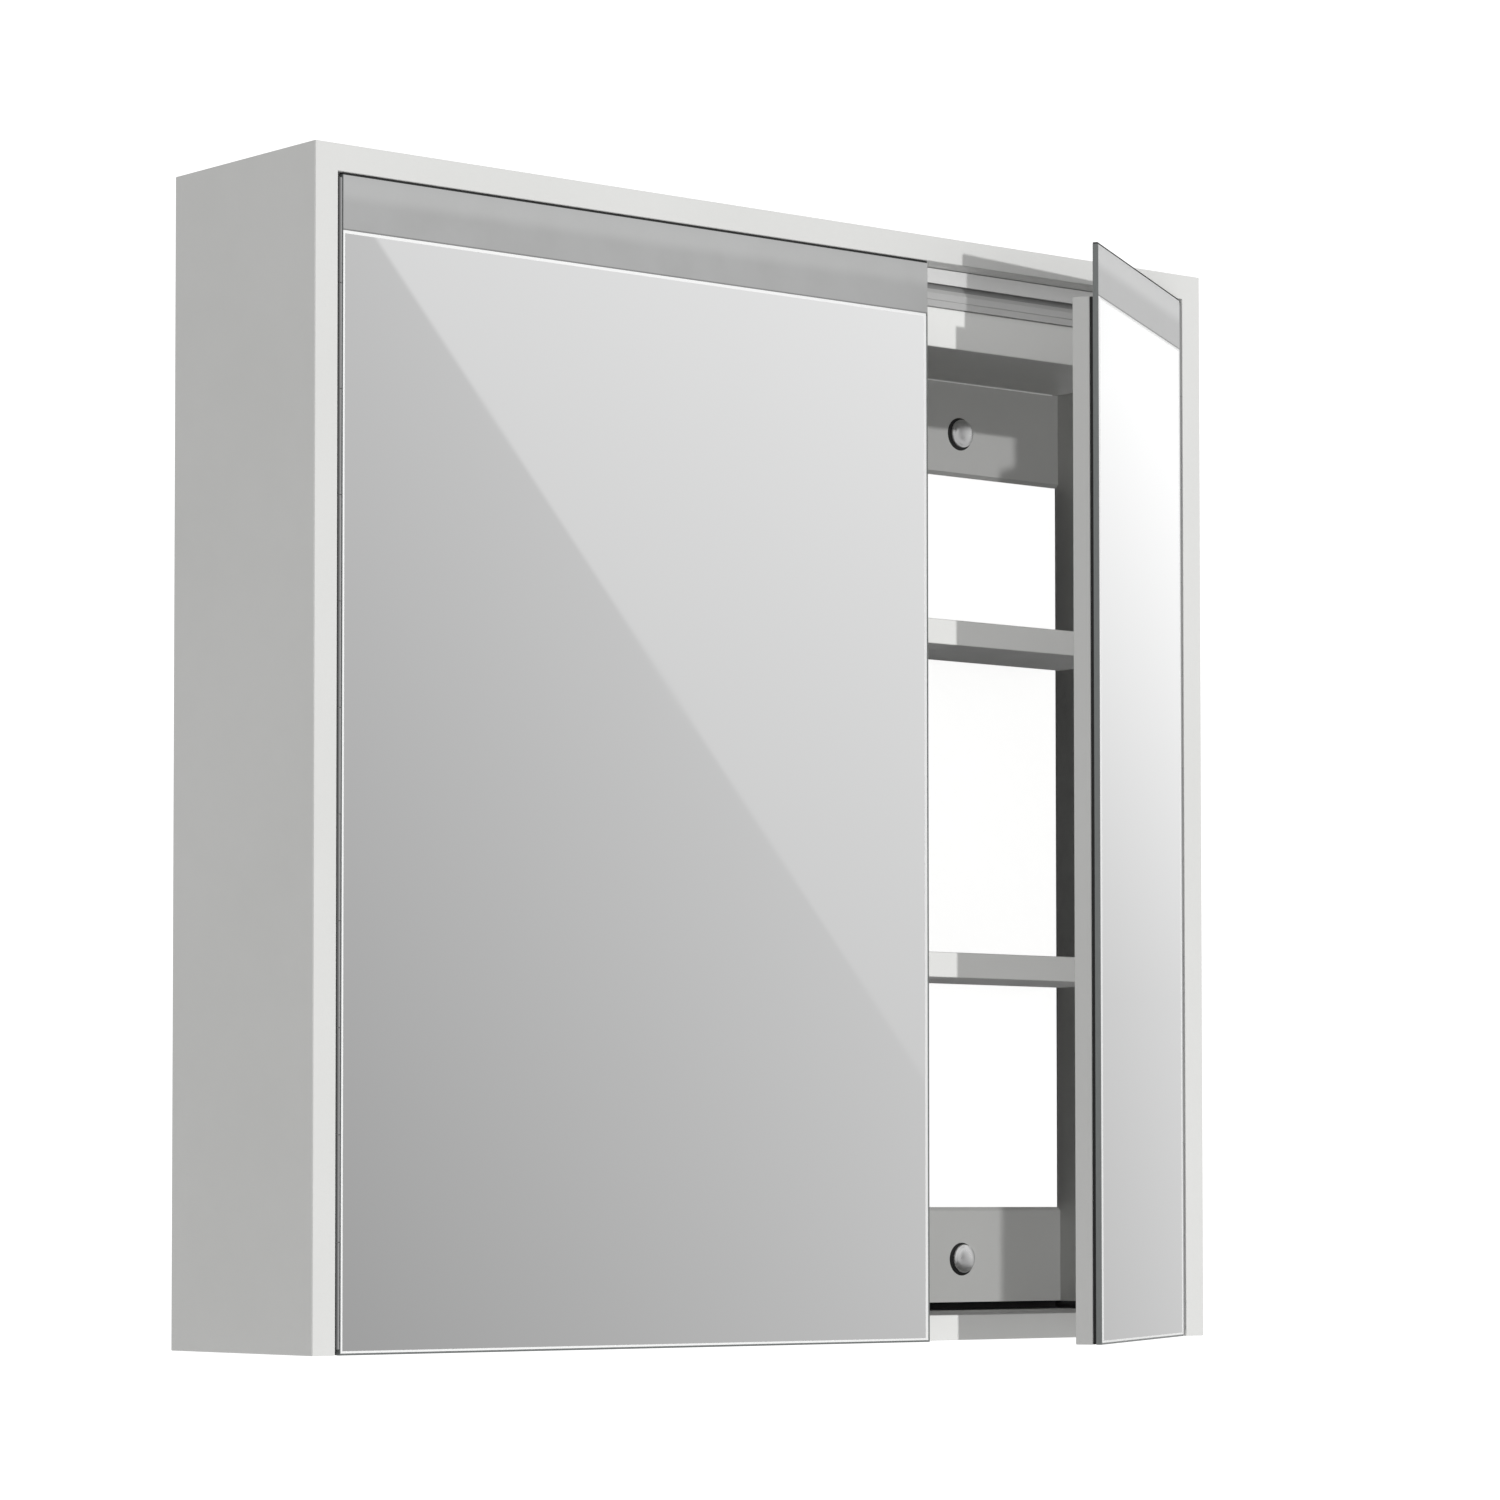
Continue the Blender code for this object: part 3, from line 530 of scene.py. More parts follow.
def pane(side, width, low, high):
    """A mirror pane as two height fields over (u, z) that share their border.

    Front depth = arris less the distance to the nearest edge, never below zero, plus a V groove:
    groove depth times one less the distance to the groove's line over half the line's width.
    The back is flat at the glass thickness, and a skirt joins the two borders.
    """
    line = high - BAND
    hinge, free, foot = (np.array([0.0, ARRIS, *BORDERS[side][edge]]) for edge in ("hinge", "free", "foot"))
    us = np.unique(np.concatenate([hinge, np.linspace(hinge[-1], width - free[-1], 13), width - free]))
    lower = np.unique(np.concatenate([low + foot, np.linspace(low + foot[-1], line - BAND_LINE, 15)[:-1]]))
    groove_line = np.array([line - BAND_LINE, line - BAND_LINE / 2, line])
    upper = np.concatenate([np.linspace(line, high - ARRIS, 7)[1:], [high]])
    zs = np.concatenate([lower, groove_line, upper])
    z, u = np.meshgrid(zs, us, indexing="ij")
    to_edge = np.minimum.reduce([u, width - u, z - low, high - z])
    chamfer = np.clip(ARRIS - to_edge, 0.0, None)
    groove = GROOVE * np.clip(1 - np.abs(z - (line - BAND_LINE / 2)) / (BAND_LINE / 2), 0.0, None)
    inside = (u > ARRIS) & (u < width - ARRIS)
    front = np.stack([HINGE_SIDE + u, DOOR_FRONT + chamfer + groove * inside, z], -1)
    rear = np.stack([HINGE_SIDE + u, np.full_like(u, DOOR_FRONT + PANE), z], -1)
    rows, columns = u.shape
    quads = grid_quads(rows, columns, wrap=False)
    index = np.arange(rows * columns).reshape(rows, columns)
    border = np.concatenate([index[0, :-1], index[:-1, -1], index[-1, :0:-1], index[:0:-1, 0]])
    following = np.roll(border, -1)
    count = rows * columns
    skirt = np.stack([following, border, border + count, following + count], -1)
    centre_u = u.reshape(-1)[quads].mean(1)
    centre_z = z.reshape(-1)[quads].mean(1)
    inwards = ((centre_u, hinge), (width - centre_u, free), (centre_z - low, foot))
    bare = np.any([distance < ends[2] for distance, ends in inwards], axis=0)
    ground = np.any([distance < ends[3] for distance, ends in inwards], axis=0)
    ground |= centre_z > line - BAND_LINE
    kind = np.where(bare, EDGE, np.where(ground, GROUND, SILVER))
    rim = np.minimum.reduce([centre_u, width - centre_u, high - centre_z]) < ARRIS
    kind = np.where(centre_z > line, np.where(rim, EDGE, SATIN), kind)
    back_kind = np.where(centre_z > line, SATIN, PAINT)
    points = hinge_to_row(side, np.concatenate([front.reshape(-1, 3), rear.reshape(-1, 3)]))
    back_quads = quads[:, ::-1] + count
    all_quads = np.concatenate([quads, back_quads, skirt])
    if SIDES[side] == -1:
        all_quads = all_quads[:, ::-1]
    kinds = np.concatenate([kind, back_kind, np.full(len(skirt), EDGE)])
    flat = np.stack([np.tile(u.reshape(-1), 2), high - np.tile(z.reshape(-1), 2)], -1)
    return points, all_quads, kinds, flat


def add_pane(side, band):
    low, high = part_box(f"{side}_mirror_pane")
    points, quads, kinds, flat = pane(side, PANE_WIDTHS[side], low.z, high.z)
    finishes = (SILVERED, band, GROUND_LINE, GLASS_EDGE, BACKING)
    piece = mesh_piece(f"{side}_mirror_glass", points, quads, finishes, f"{side}_door",
                       [f"{side}_mirror_pane"], kinds, smooth=False)
    loops = np.zeros(len(piece.data.loops), np.int32)
    piece.data.loops.foreach_get("vertex_index", loops)
    layer = piece.data.uv_layers.new(name="glass")
    layer.data.foreach_set("uv", flat[loops].ravel().astype(np.float32))


SILVERED, GROUND_LINE, GLASS_EDGE, BACKING = silvered(), polished_line(), glass_edge(), mirror_backing()
PANE_WIDTHS = {"left": 0.5082, "right": 0.2448}
# Lit and shaded copies of one finish: the left door's band is painted darker, the open right door's band
# brighter.
add_pane("left", satin_band("left_satin_band", (0.475, 0.478, 0.475), (0.408, 0.41, 0.408)))
add_pane("right", satin_band("right_satin_band", (0.69, 0.693, 0.69), (0.555, 0.557, 0.555)))


# Cover caps, shelf pegs, bumpers and screws


def dome_cap(radius, height):
    """Profile of a domed cap: a short straight rim, a small roll, then a flat ellipse to the middle."""
    rim = arc(radius, 0.22 * height, 0.93 * radius, 0.45 * height, 6, 0)
    crown = np.linspace(0.93, 0.0, 12)[1:, None]
    rise = 0.45 * height + 0.55 * height * np.sqrt(np.clip(1 - (crown / 0.93) ** 2, 0.0, None))
    dome = np.concatenate([crown * radius, rise], 1)
    return np.concatenate([[(0.0, 0.0), (radius, 0.0)], rim, dome])


CAP_RADIUS, CAP_HEIGHT = 0.0104, 0.0053
for row in ("upper", "lower"):
    for column in ("left", "right"):
        node = f"{row}_{column}_cover_cap"
        x, _, z = middle(node)
        points, quads = turned(dome_cap(CAP_RADIUS, CAP_HEIGHT), 64)
        placed = pointed(points, (0, -1, 0)) + np.array([x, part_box(node)[1].y, z])
        mesh_piece(f"{node}_dome", placed, quads, [CHROME], "carcass", [node])

# Black rubber rings under the cover caps, set off-centre to the left and down, so that each also shows as a
# painted shadow of its cap.
SHADOW_GASKET = [
    (0.0094, 0.0), (0.0121, 0.0), (0.0120, 0.0003), (0.0116, 0.0006), (0.0111, 0.0007), (0.0094, 0.0007),
]
# Painted shadow: how far each ring sits to the left of its cap and down from it.
CAP_SHADOW_SHIFT = np.array([-0.0010, 0.0, -0.0004])
for row in ("upper", "lower"):
    rail_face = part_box(f"{row}_fixing_rail")[0].y
    for column in ("left", "right"):
        x, _, z = middle(f"{row}_{column}_cover_cap")
        points, quads = ring(SHADOW_GASKET, 64)
        placed = pointed(points, (0, -1, 0)) + np.array([x, rail_face, z]) + CAP_SHADOW_SHIFT
        mesh_piece(f"{row}_{column}_cap_gasket", placed, quads, [RUBBER], "carcass")

PEG = np.concatenate([
    [(0.0, -0.0087), (0.0021, -0.0087), (0.0025, -0.0083), (0.0025, 0.0003), (0.0029, 0.0003)],
    arc(0.0029, 0.0003, 0.0030, 0.0010, 3, 0),
    arc(0.0030, 0.0068, 0.0, 0.0080, 9, 0),
])
for column in ("left", "right"):
    for label in ("lower_front", "lower_rear", "upper_front", "upper_rear"):
        node = f"{column}_{label}_shelf_peg"
        _, y, z = middle(node)
        points, quads = turned(PEG, 32)
        placed = pointed(points, (SIDES[column], 0, 0)) + np.array([inner_wall(column), y, z])
        mesh_piece(f"{node}_pin", placed, quads, [STEEL], "carcass", [node])

BUMPER = np.concatenate([[(0.0, 0.0), (0.0040, 0.0)], arc(0.0040, 0.0002, 0.0, 0.0014, 10, 0)])
BUMPER_SEAT = 0.0178
BUMPER_INSET = 0.020
for side in SIDES:
    for row in ("upper", "lower"):
        node = f"{side}_{row}_bumper"
        points, quads = turned(BUMPER, 32)
        local = np.array([PANE_WIDTHS[side] - BUMPER_INSET, BUMPER_SEAT, middle(node)[2]])
        placed = hinge_to_row(side, pointed(points, (0, 1, 0)) + local)
        order = quads if side == "left" else quads[:, ::-1]
        mesh_piece(f"{node}_dome", placed, order, [SILICONE], f"{side}_door", [node])


def screw_head(radius, rise, steps=48):
    """A low domed head with a cross recess, as a polar height field: height = rise times one less the
    squared radius share, less a recess where the smaller of |x| and |y| is within the slot's width."""
    share = np.array([0.0, 0.12, 0.2, 0.3, 0.4, 0.5, 0.62, 0.78, 0.92, 1.0])
    angle = full_turn(steps)
    s, a = np.meshgrid(share, angle, indexing="ij")
    x, y = s * np.cos(a), s * np.sin(a)
    slot = np.clip((0.14 - np.minimum(np.abs(x), np.abs(y))) / 0.05, 0.0, 1.0)
    reach = np.clip((0.62 - s) / 0.12, 0.0, 1.0)
    height = rise * (1 - 0.7 * s**2) - RECESS * slot * reach
    rings = np.stack([radius * x, radius * y, height], -1)
    foot = np.stack([radius * np.cos(angle), radius * np.sin(angle), np.zeros(steps)], -1)
    grid = np.concatenate([rings, foot[None], 0 * foot[None]])
    return closed_poles(grid.reshape(-1, 3), grid_quads(len(grid), steps, wrap=True)[:, ::-1], steps)


RECESS = 0.0009
HEAD, HEAD_QUADS = screw_head(0.0025, 0.0004)
LEAF_FACE = 0.0009
SCREW_DEPTH = 0.0095
LOWEST_SCREW, HIGHEST_SCREW, SCREWS, STAGGER = 0.035, 0.065, 9, 0.004
leaf_low, leaf_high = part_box("left_hinge_frame_leaf")
SCREW_LEVELS = np.linspace(leaf_low.z + LOWEST_SCREW, leaf_high.z - HIGHEST_SCREW, SCREWS)
for side, way in SIDES.items():
    for part, facing, body in (("frame", 1, "carcass"), ("door", -1, f"{side}_door")):
        places = [(-facing * LEAF_FACE, SCREW_DEPTH, z + STAGGER * facing) for z in SCREW_LEVELS]
        points, quads = copies(pointed(HEAD, (facing, 0, 0)), HEAD_QUADS, places)
        order = quads if way == 1 else quads[:, ::-1]
        if part == "frame":
            axis = HINGE_AXES[side]
            placed = points * np.array([way, 1, 1]) + np.array([axis.x, axis.y, 0.0])
        else:
            placed = hinge_to_row(side, points)
        mesh_piece(f"{side}_{part}_leaf_screws", placed, order, [STEEL], body)


# Light


CHIP_PITCH = 0.0125
CHIP_TOP, CHIP_HALF_WIDTH, CHIP_HALF_HEIGHT = 0.0007, 0.0022, 0.0014


def chips():
    """A row of small light chips along the strip: each is a superellipse dome, with
    height = top times (1 - |x|^4) times (1 - |z|^4) over its own footprint, on a flat back."""
    low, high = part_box("light_strip")
    x, z = share_grid(7)
    rise = CHIP_TOP * (1 - x**4) * (1 - z**4)
    dome = np.stack([CHIP_HALF_WIDTH * x, -rise, CHIP_HALF_HEIGHT * z], -1).reshape(-1, 3)
    quads = grid_quads(*x.shape, wrap=False)
    points = np.concatenate([dome, dome * (1, 0, 1)])
    both = np.concatenate([quads, quads[:, ::-1] + x.size])
    places = np.arange(low.x + CHIP_PITCH, high.x - CHIP_PITCH / 2, CHIP_PITCH)
    return copies(points, both, [(place, low.y, middle("light_strip")[2]) for place in places])


chip_points, chip_quads = chips()
CHIP = moulded("warm_light_chip", (0.86, 0.78, 0.45), 0.3, 900.0)
mesh_piece("light_chips", chip_points, chip_quads, [CHIP], "carcass")


CASE_ROUND = 0.0025
CASE_SQUARENESS = 9.0
RIB_MARGIN = 0.004


def moulded_case(node, ribs, rib_depth):
    """A moulded case: a superellipse section |y|^n + |z|^n = 1 carried along X. The section shrinks by
    the rib depth where the cosine of the rib phase is negative and rounds in at both ends."""
    around = full_turn(96)
    c, s = np.cos(around), np.sin(around)
    radius = (np.abs(c) ** CASE_SQUARENESS + np.abs(s) ** CASE_SQUARENESS) ** (-1 / CASE_SQUARENESS)
    low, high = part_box(node)
    half = (high - low) / 2
    length = 2 * half.x
    ends = CASE_ROUND * (1 - np.cos(np.linspace(0, np.pi / 2, 6)))[:-1]
    inner = np.linspace(CASE_ROUND, length - CASE_ROUND, 16 * ribs + 1)
    along = np.concatenate([ends, inner, length - ends[::-1]])
    near = np.clip(np.minimum(along, length - along) / CASE_ROUND, 0, 1)
    rounding = CASE_ROUND * (1 - np.sqrt(np.clip(1 - (1 - near) ** 2, 0, 1)))
    phase = np.clip((along - RIB_MARGIN) / (length - 2 * RIB_MARGIN), 0, 1)
    shrink = rounding + rib_depth * np.clip(-np.cos(2 * np.pi * ribs * phase) * 3, 0, 1)
    y = (half.y - shrink)[:, None] * radius * c
    z = (half.z - shrink)[:, None] * radius * s
    rings = np.stack(np.broadcast_arrays(along[:, None] - half.x, y, z), -1)
    tips = np.zeros((1, len(around), 3))
    grid = np.concatenate([tips + (-half.x, 0, 0), rings, tips + (half.x, 0, 0)])
    quads = grid_quads(len(grid), len(around), wrap=True)[:, ::-1]
    return closed_poles(grid.reshape(-1, 3) + np.array((high + low) / 2), quads, len(around))


for node, ribs, depth in (("light_driver", 14, 0.0005), ("mains_terminal", 3, 0.0008)):
    points, quads = moulded_case(node, ribs, depth)
    mesh_piece(f"{node}_case", points, quads, [HOUSING], "carcass", [node])


def carried(profile, low_x, high_x):
    """A closed profile of (y, z) carried along X in equal steps, with a fan of faces at each end."""
    profile = np.asarray(profile, float)
    stations = np.linspace(low_x, high_x, 9)
    count = len(profile)
    x, j = np.meshgrid(stations, np.arange(count), indexing="ij")
    heart = profile.mean(0)
    walls = np.stack([x, profile[j][..., 0], profile[j][..., 1]], -1).reshape(-1, 3)
    ends = [(low_x, *heart), (high_x, *heart)]
    quads = grid_quads(len(stations), count, wrap=True)
    last = len(walls)
    start, finish = np.arange(count), np.arange(count) + last - count
    near = np.stack([start, start, np.roll(start, -1), np.full(count, last)], -1)[:, ::-1]
    far = np.stack([finish, finish, np.roll(finish, -1), np.full(count, last + 1)], -1)
    return np.concatenate([walls, ends]), np.concatenate([quads, near, far])


def add_carried(name, profile, low_x, high_x, finish):
    """The profile goes from +Y towards +Z round its middle, so that its faces point outwards."""
    points, quads = carried(profile, low_x, high_x)
    mesh_piece(name, points, quads, [finish], "carcass")


def along_y(points, quads):
    """A piece carried along X, turned to run along Y, with its faces still outwards."""
    return points[:, [1, 0, 2]], quads[:, ::-1]


def reflector_section():
    """A thin lip below the diffuser: (Y, Z) moves back by depth times (1 - cos a) and up by height times
    sin a over a quarter turn, and returns along the same curve a sheet's thickness behind it."""
    face, screen_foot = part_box("light_body")[0].y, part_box("light_diffuser")[0].z
    start_y, start_z = face + LIP_SETBACK, screen_foot - LIP_DROP
    hollow = [(start_y + LIP_DEPTH * (1 - math.cos(a)), start_z + LIP_HEIGHT * math.sin(a)) for a in QUARTER]
    return hollow + [(y + LIP_SHEET, z + LIP_SHEET / 3) for y, z in hollow[::-1]]


def add_bead(side, width):
    """A rubber bead along the top of a mirror pane. Its section is half an ellipse towards the room, from
    its top to its foot, closed by a flat back."""
    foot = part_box(f"{side}_mirror_pane")[1].z + BEAD_CLEAR
    half = BEAD_HIGH / 2
    back = BEAD_FRONT + BEAD_DEEP
    section = [(BEAD_FRONT - BEAD_BULGE * math.cos(a), foot + half * (1 - math.sin(a))) for a in HALF]
    section += [(back, foot), (back, foot + BEAD_HIGH)]
    points, quads = carried(section, HINGE_SIDE + BEAD_END, HINGE_SIDE + width - BEAD_END)
    order = quads[:, ::-1] if side == "left" else quads
    mesh_piece(f"{side}_top_bead", hinge_to_row(side, points), order, [RUBBER], f"{side}_door")


def add_foot_seal(column, way):
    """A rubber seal in the gap between bottom panel and lower rail, along a side panel's inner face. Its
    section is half an ellipse that bulges from the face into the cabinet."""
    low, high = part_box("bottom_panel")
    foot = high.z + SEAL_CLEAR
    half = (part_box("lower_fixing_rail")[0].z - SEAL_CLEAR - foot) / 2
    wall = inner_wall(column)
    section = [(wall + way * SEAL_BULGE * math.cos(a), foot + half * (1 + math.sin(a))) for a in HALF]
    near, far = low.y + SEAL_FRONT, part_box("lower_sealing_strip")[0].y - SEAL_REAR
    points, quads = along_y(*carried(section, near, far))
    order = quads if column == "left" else quads[:, ::-1]
    mesh_piece(f"{column}_foot_seal", points, order, [RUBBER], "carcass")


def fillet_section():
    """A thin quarter round in the joint of the light shelf and the upper rail: (Y, Z) goes from the
    corner towards the room by the radius times cos a, and down by the radius times sin a."""
    face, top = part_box("upper_fixing_rail")[0].y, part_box("upper_fixing_rail")[1].z
    return [(face, top), *((face - FILLET * math.cos(a), top - FILLET * math.sin(a)) for a in QUARTER)]


QUARTER, HALF = np.linspace(0.0, math.pi / 2, 8), np.linspace(-math.pi / 2, math.pi / 2, 7)
BEAD_HIGH, BEAD_DEEP, BEAD_BULGE = 0.0011, 0.0032, 0.0005
BEAD_FRONT = DOOR_FRONT + 0.0008
BEAD_CLEAR, BEAD_END = 0.00005, 0.0005
SEAL_CLEAR, SEAL_BULGE = 0.0002, 0.0012
SEAL_FRONT, SEAL_REAR = 0.001, 0.0003
LIP_SETBACK, LIP_DEPTH = 0.0035, 0.006
LIP_DROP, LIP_HEIGHT = 0.0055, 0.008
LIP_SHEET = 0.0006
LIP_END, FILLET, FILLET_END = 0.001, 0.0006, 0.006
for side, width in PANE_WIDTHS.items():
    add_bead(side, width)
for column, way in SIDES.items():
    add_foot_seal(column, way)
low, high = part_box("light_body")
add_carried("light_reflector", reflector_section(), low.x + LIP_END, high.x - LIP_END, REFLECTOR)
low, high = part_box("upper_fixing_rail")
# The fillet's finish has a painted glow.
add_carried("rail_joint_fillet", fillet_section(), low.x + FILLET_END, high.x - FILLET_END, fillet_painted_glow())


# Front edging


def edging():
    """One band over the front edges of both sides and the top. Its section, a flat with two small
    quarter rounds, is carried along a mitred path: at w from the outer edge the path runs up the left
    side at w, along the top at w below the top, and down the right side at w."""
    low, high = CAD_BOX
    turn = np.linspace(0.0, np.pi / 2, 4)
    across = EDGING_INSET + EDGING_ROUND * (1 - np.cos(turn))
    depth = EDGING_SUNK - (EDGING_ROUND + EDGING_SUNK) * np.sin(turn)
    w = np.concatenate([across, EDGING_WIDTH - across[::-1]])
    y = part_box("left_side_panel")[0].y + np.concatenate([depth, depth[::-1]])
    foot = np.full_like(w, low.z + EDGING_FOOT)
    path = [(low.x + w, foot), (low.x + w, high.z - w), (high.x - w, high.z - w), (high.x - w, foot)]
    grid = np.stack([np.stack([x, y, z], -1) for x, z in path])
    rows, columns = grid.shape[:2]
    quads = grid_quads(rows, columns, wrap=True)
    caps = []
    base = (rows - 1) * columns
    for i in range(columns // 2 - 1):
        caps.append((i, i + 1, columns - 2 - i, columns - 1 - i))
        caps.append((base + columns - 1 - i, base + columns - 2 - i, base + i + 1, base + i))
    return grid.reshape(-1, 3), np.concatenate([quads[:, ::-1], np.array(caps)])


EDGING_WIDTH, EDGING_ROUND = 0.018, 0.0004
EDGING_INSET, EDGING_SUNK, EDGING_FOOT = 0.0001, 0.0003, 0.0002
edging_points, edging_quads = edging()
mesh_piece("front_edging", edging_points, edging_quads, [BOARD], "carcass",
           smooth=False)


# Studio


def studio_sheet(name, x, y, z, finish):
    """A sheet through a square grid of points. It belongs to the studio and not to the cabinet."""
    points = np.stack([x, y, z], -1).reshape(-1, 3)
    mesh = bpy.data.meshes.new(name)
    mesh.from_pydata(points.tolist(), [], grid_quads(*x.shape, wrap=False).tolist())
    mesh.materials.append(finish)
    sheet = bpy.data.objects.new(name, mesh)
    bpy.context.scene.collection.objects.link(sheet)
    return sheet


def add_floor():
    """A level floor, a gentle dish: height = the dish times the squared distance share."""
    y, x = share_grid(9)
    height = FLOOR_LEVEL + FLOOR_DISH * (x**2 + y**2)
    studio_sheet("floor", FLOOR_REACH * x, FLOOR_REACH * y, height, floor_finish())


def add_flag():
    """A dark card inside the back panel, seen by soft light only, so that the inside stays shaded while
    the panel's painted glow stays on the panel. Its depth is that of a shallow bowl over the panel."""
    low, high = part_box("back_panel")
    x, z = share_grid(9)
    centre, half = (low + high) / 2, (high - low) / 2
    depth = centre.y + FLAG_BOWL * (x**2 + z**2 - 1)
    dull = moulded("dull_grey_card", (0.03, 0.03, 0.03), 0.9, 200.0)
    card = studio_sheet("shade_card", centre.x + half.x * x, depth, centre.z + half.z * z, dull)
    card.visible_camera = card.visible_glossy = card.visible_transmission = False
    NODES["back_panel"].visible_diffuse = NODES["back_panel"].visible_glossy = False


def add_scrim():
    """A dark net behind the two doors' free edges that thins the soft light going in. It bows towards
    the right by the bow times one less the squared share of its width, and only soft light sees it."""
    start, end = (hinge_to_row(side, np.array([HINGE_SIDE + width - SCRIM_INSET, SCRIM_DEPTH, 0.0]))
                  for side, width in PANE_WIDTHS.items())
    low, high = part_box("left_carrier_board")
    share, rise = share_grid(9)
    along = start + (end - start) * (share[..., None] + 1) / 2
    bow = SCRIM_BOW * (1 - share**2)
    level = low.z + (high.z - low.z) * (rise + 1) / 2
    net = moulded("black_net", (0.02, 0.02, 0.02), 0.9, 200.0, Alpha=SCRIM_SHARE)
    scrim = studio_sheet("scrim", along[..., 0] + bow, along[..., 1], level, net)
    scrim.visible_camera = scrim.visible_glossy = False
    scrim.visible_transmission = scrim.visible_shadow = False


def hide_reflections():
    """The mirrors show the studio only, so what stands beside them is left out of gloss."""
    for piece in bpy.context.scene.objects:
        beside = piece.name.startswith("right_") and not piece.name.endswith("_pin")
        if beside or piece.name == "front_edging":
            piece.visible_glossy = False


def add_sun(name, travel, strength, spread, receivers, shadow=True):
    lamp = bpy.data.lights.new(name, "SUN")
    lamp.use_shadow = shadow
    lamp.energy = strength
    lamp.angle = math.radians(spread)
    sun = bpy.data.objects.new(name, lamp)
    sun.rotation_euler = Vector(travel).to_track_quat("-Z", "Y").to_euler()
    sun.visible_glossy = False
    bpy.context.scene.collection.objects.link(sun)
    group = bpy.data.collections.new(f"lit_by_{name}")
    for piece in receivers:
        group.objects.link(piece)
    sun.light_linking.receiver_collection = group


YAW, PITCH = math.radians(39.251), math.radians(2.4)
CAMERA_PLACE = (-2.3436, -2.8886, -0.5708)
SENSOR, LENS = 36.0, 125.84
SHIFT = (0.0601, 0.1525)


def add_camera():
    data = bpy.data.cameras.new("camera")
    data.sensor_width = SENSOR
    data.lens = LENS
    data.shift_x, data.shift_y = SHIFT
    camera = bpy.data.objects.new("camera", data)
    camera.location = CAMERA_PLACE
    camera.rotation_euler = (math.pi / 2 + PITCH, 0.0, -YAW)
    bpy.context.scene.collection.objects.link(camera)
    bpy.context.scene.camera = camera


def studio_axes(normal):
    """Right, up and forward of the camera, each mirrored in a plane with this normal."""
    c, s = math.cos(YAW), math.sin(YAW)
    cp, sp = math.cos(PITCH), math.sin(PITCH)
    axes = Vector((c, -s, 0)), Vector((-s * sp, -c * sp, cp)), Vector((s * cp, c * cp, sp))
    normal = Vector(normal)
    return [axis - 2 * axis.dot(normal) * normal for axis in axes]


def card_place(tree, ray, normal):
    """Where a ray mirrored in a door meets a card square to the view, in millimetres across and up on a
    card one metre from the lens, and how far the ray faces that card."""
    right, up, forward = studio_axes(normal)
    facing = vector_dot(tree, ray, forward)
    depth = maths(tree, "MAXIMUM", facing, 0.01)
    across, rise = (maths(tree, "MULTIPLY", maths(tree, "DIVIDE", vector_dot(tree, ray, axis), depth), 1000.0)
                    for axis in (right, up))
    return across, rise, facing


def plane(tree, across, rise, grey):
    """A tone out of 255 at the card's middle, with its even change per millimetre across and up."""
    tone, slope_across, slope_rise = grey
    sideways = maths(tree, "MULTIPLY_ADD", across, slope_across, tone)
    return maths(tree, "MULTIPLY_ADD", rise, slope_rise, sideways)


def mix_tone(tree, factor, first, second):
    node = add(tree, "Mix", {"data_type": "FLOAT"}, in0=factor, in2=first, in3=second)
    return node.outputs[0]


def shown(tree, tone, bounds, facing):
    """A card's tone within its bounds, and how much of the card a ray sees: all of it when the ray faces
    the card, fading to none aside."""
    low, high = bounds
    bounded = maths(tree, "MINIMUM", maths(tree, "MAXIMUM", tone, low), high)
    return bounded, ramp(tree, facing, *CARD_FADE, 0.0, 1.0)


def wide_card(tree, ray):
    """The left mirror's card: two greys that meet on a slanted edge."""
    across, rise, facing = card_place(tree, ray, (0, 1, 0))
    dark = plane(tree, across, rise, DARK_GREY)
    light = plane(tree, across, rise, LIGHT_GREY)
    slant = maths(tree, "MULTIPLY_ADD", across, EDGE_SLOPE, EDGE_PLACE)
    over = maths(tree, "ADD", slant, rise)
    edge = maths(tree, "MULTIPLY_ADD", over, EDGE_SHARPNESS, 0.5, clamp=True)
    return shown(tree, mix_tone(tree, edge, dark, light), WIDE_BOUNDS, facing)


def narrow_card(tree, ray):
    """The right mirror's card: bright above, falling to a soft grey below."""
    c, s = math.cos(RIGHT_DOOR_ANGLE), math.sin(RIGHT_DOOR_ANGLE)
    across, rise, facing = card_place(tree, ray, (s, -c, 0))
    above, below = (ramp(tree, rise, *course, "LINEAR") for course in (NARROW_ABOVE, NARROW_BELOW))
    tone = maths(tree, "MULTIPLY_ADD", across, NARROW_SLOPE, maths(tree, "ADD", above, below))
    return shown(tree, tone, NARROW_BOUNDS, facing)


def to_light(tree, tone):
    """A display tone out of 255 as linear light."""
    return maths(tree, "POWER", maths(tree, "MULTIPLY", tone, 1 / 255), 2.2)


def add_world():
    """White backdrop, even soft light, and for gloss two large grey cards with slanted edges."""
    world = bpy.data.worlds.new("studio")
    world.use_nodes = True
    bpy.context.scene.world = world
    tree = world.node_tree
    tree.nodes.clear()
    ray = add(tree, "TexCoord").outputs["Generated"]
    parts = add(tree, "SeparateXYZ", None, Vector=ray).outputs
    tones = ramp(tree, parts["Z"], -0.4, 0.7, *ROOM_TONES)
    tones = mix_tone(tree, ramp(tree, parts["Y"], 0.1, 0.5, 0.0, 1.0), tones, WALL_TONE)
    for card in (wide_card, narrow_card):
        tone, seen = card(tree, ray)
        tones = mix_tone(tree, seen, tones, tone)
    gloss = to_light(tree, tones)
    path = add(tree, "LightPath").outputs
    even = mix_tone(tree, path["Is Glossy Ray"], AMBIENT, gloss)
    total = mix_tone(tree, path["Is Camera Ray"], even, BACKDROP)
    background = add(tree, "Background", None, Color=(1.0, 1.0, 1.0, 1.0), Strength=total)
    output = add(tree, "OutputWorld")
    tree.links.new(background.outputs[0], output.inputs["Surface"])


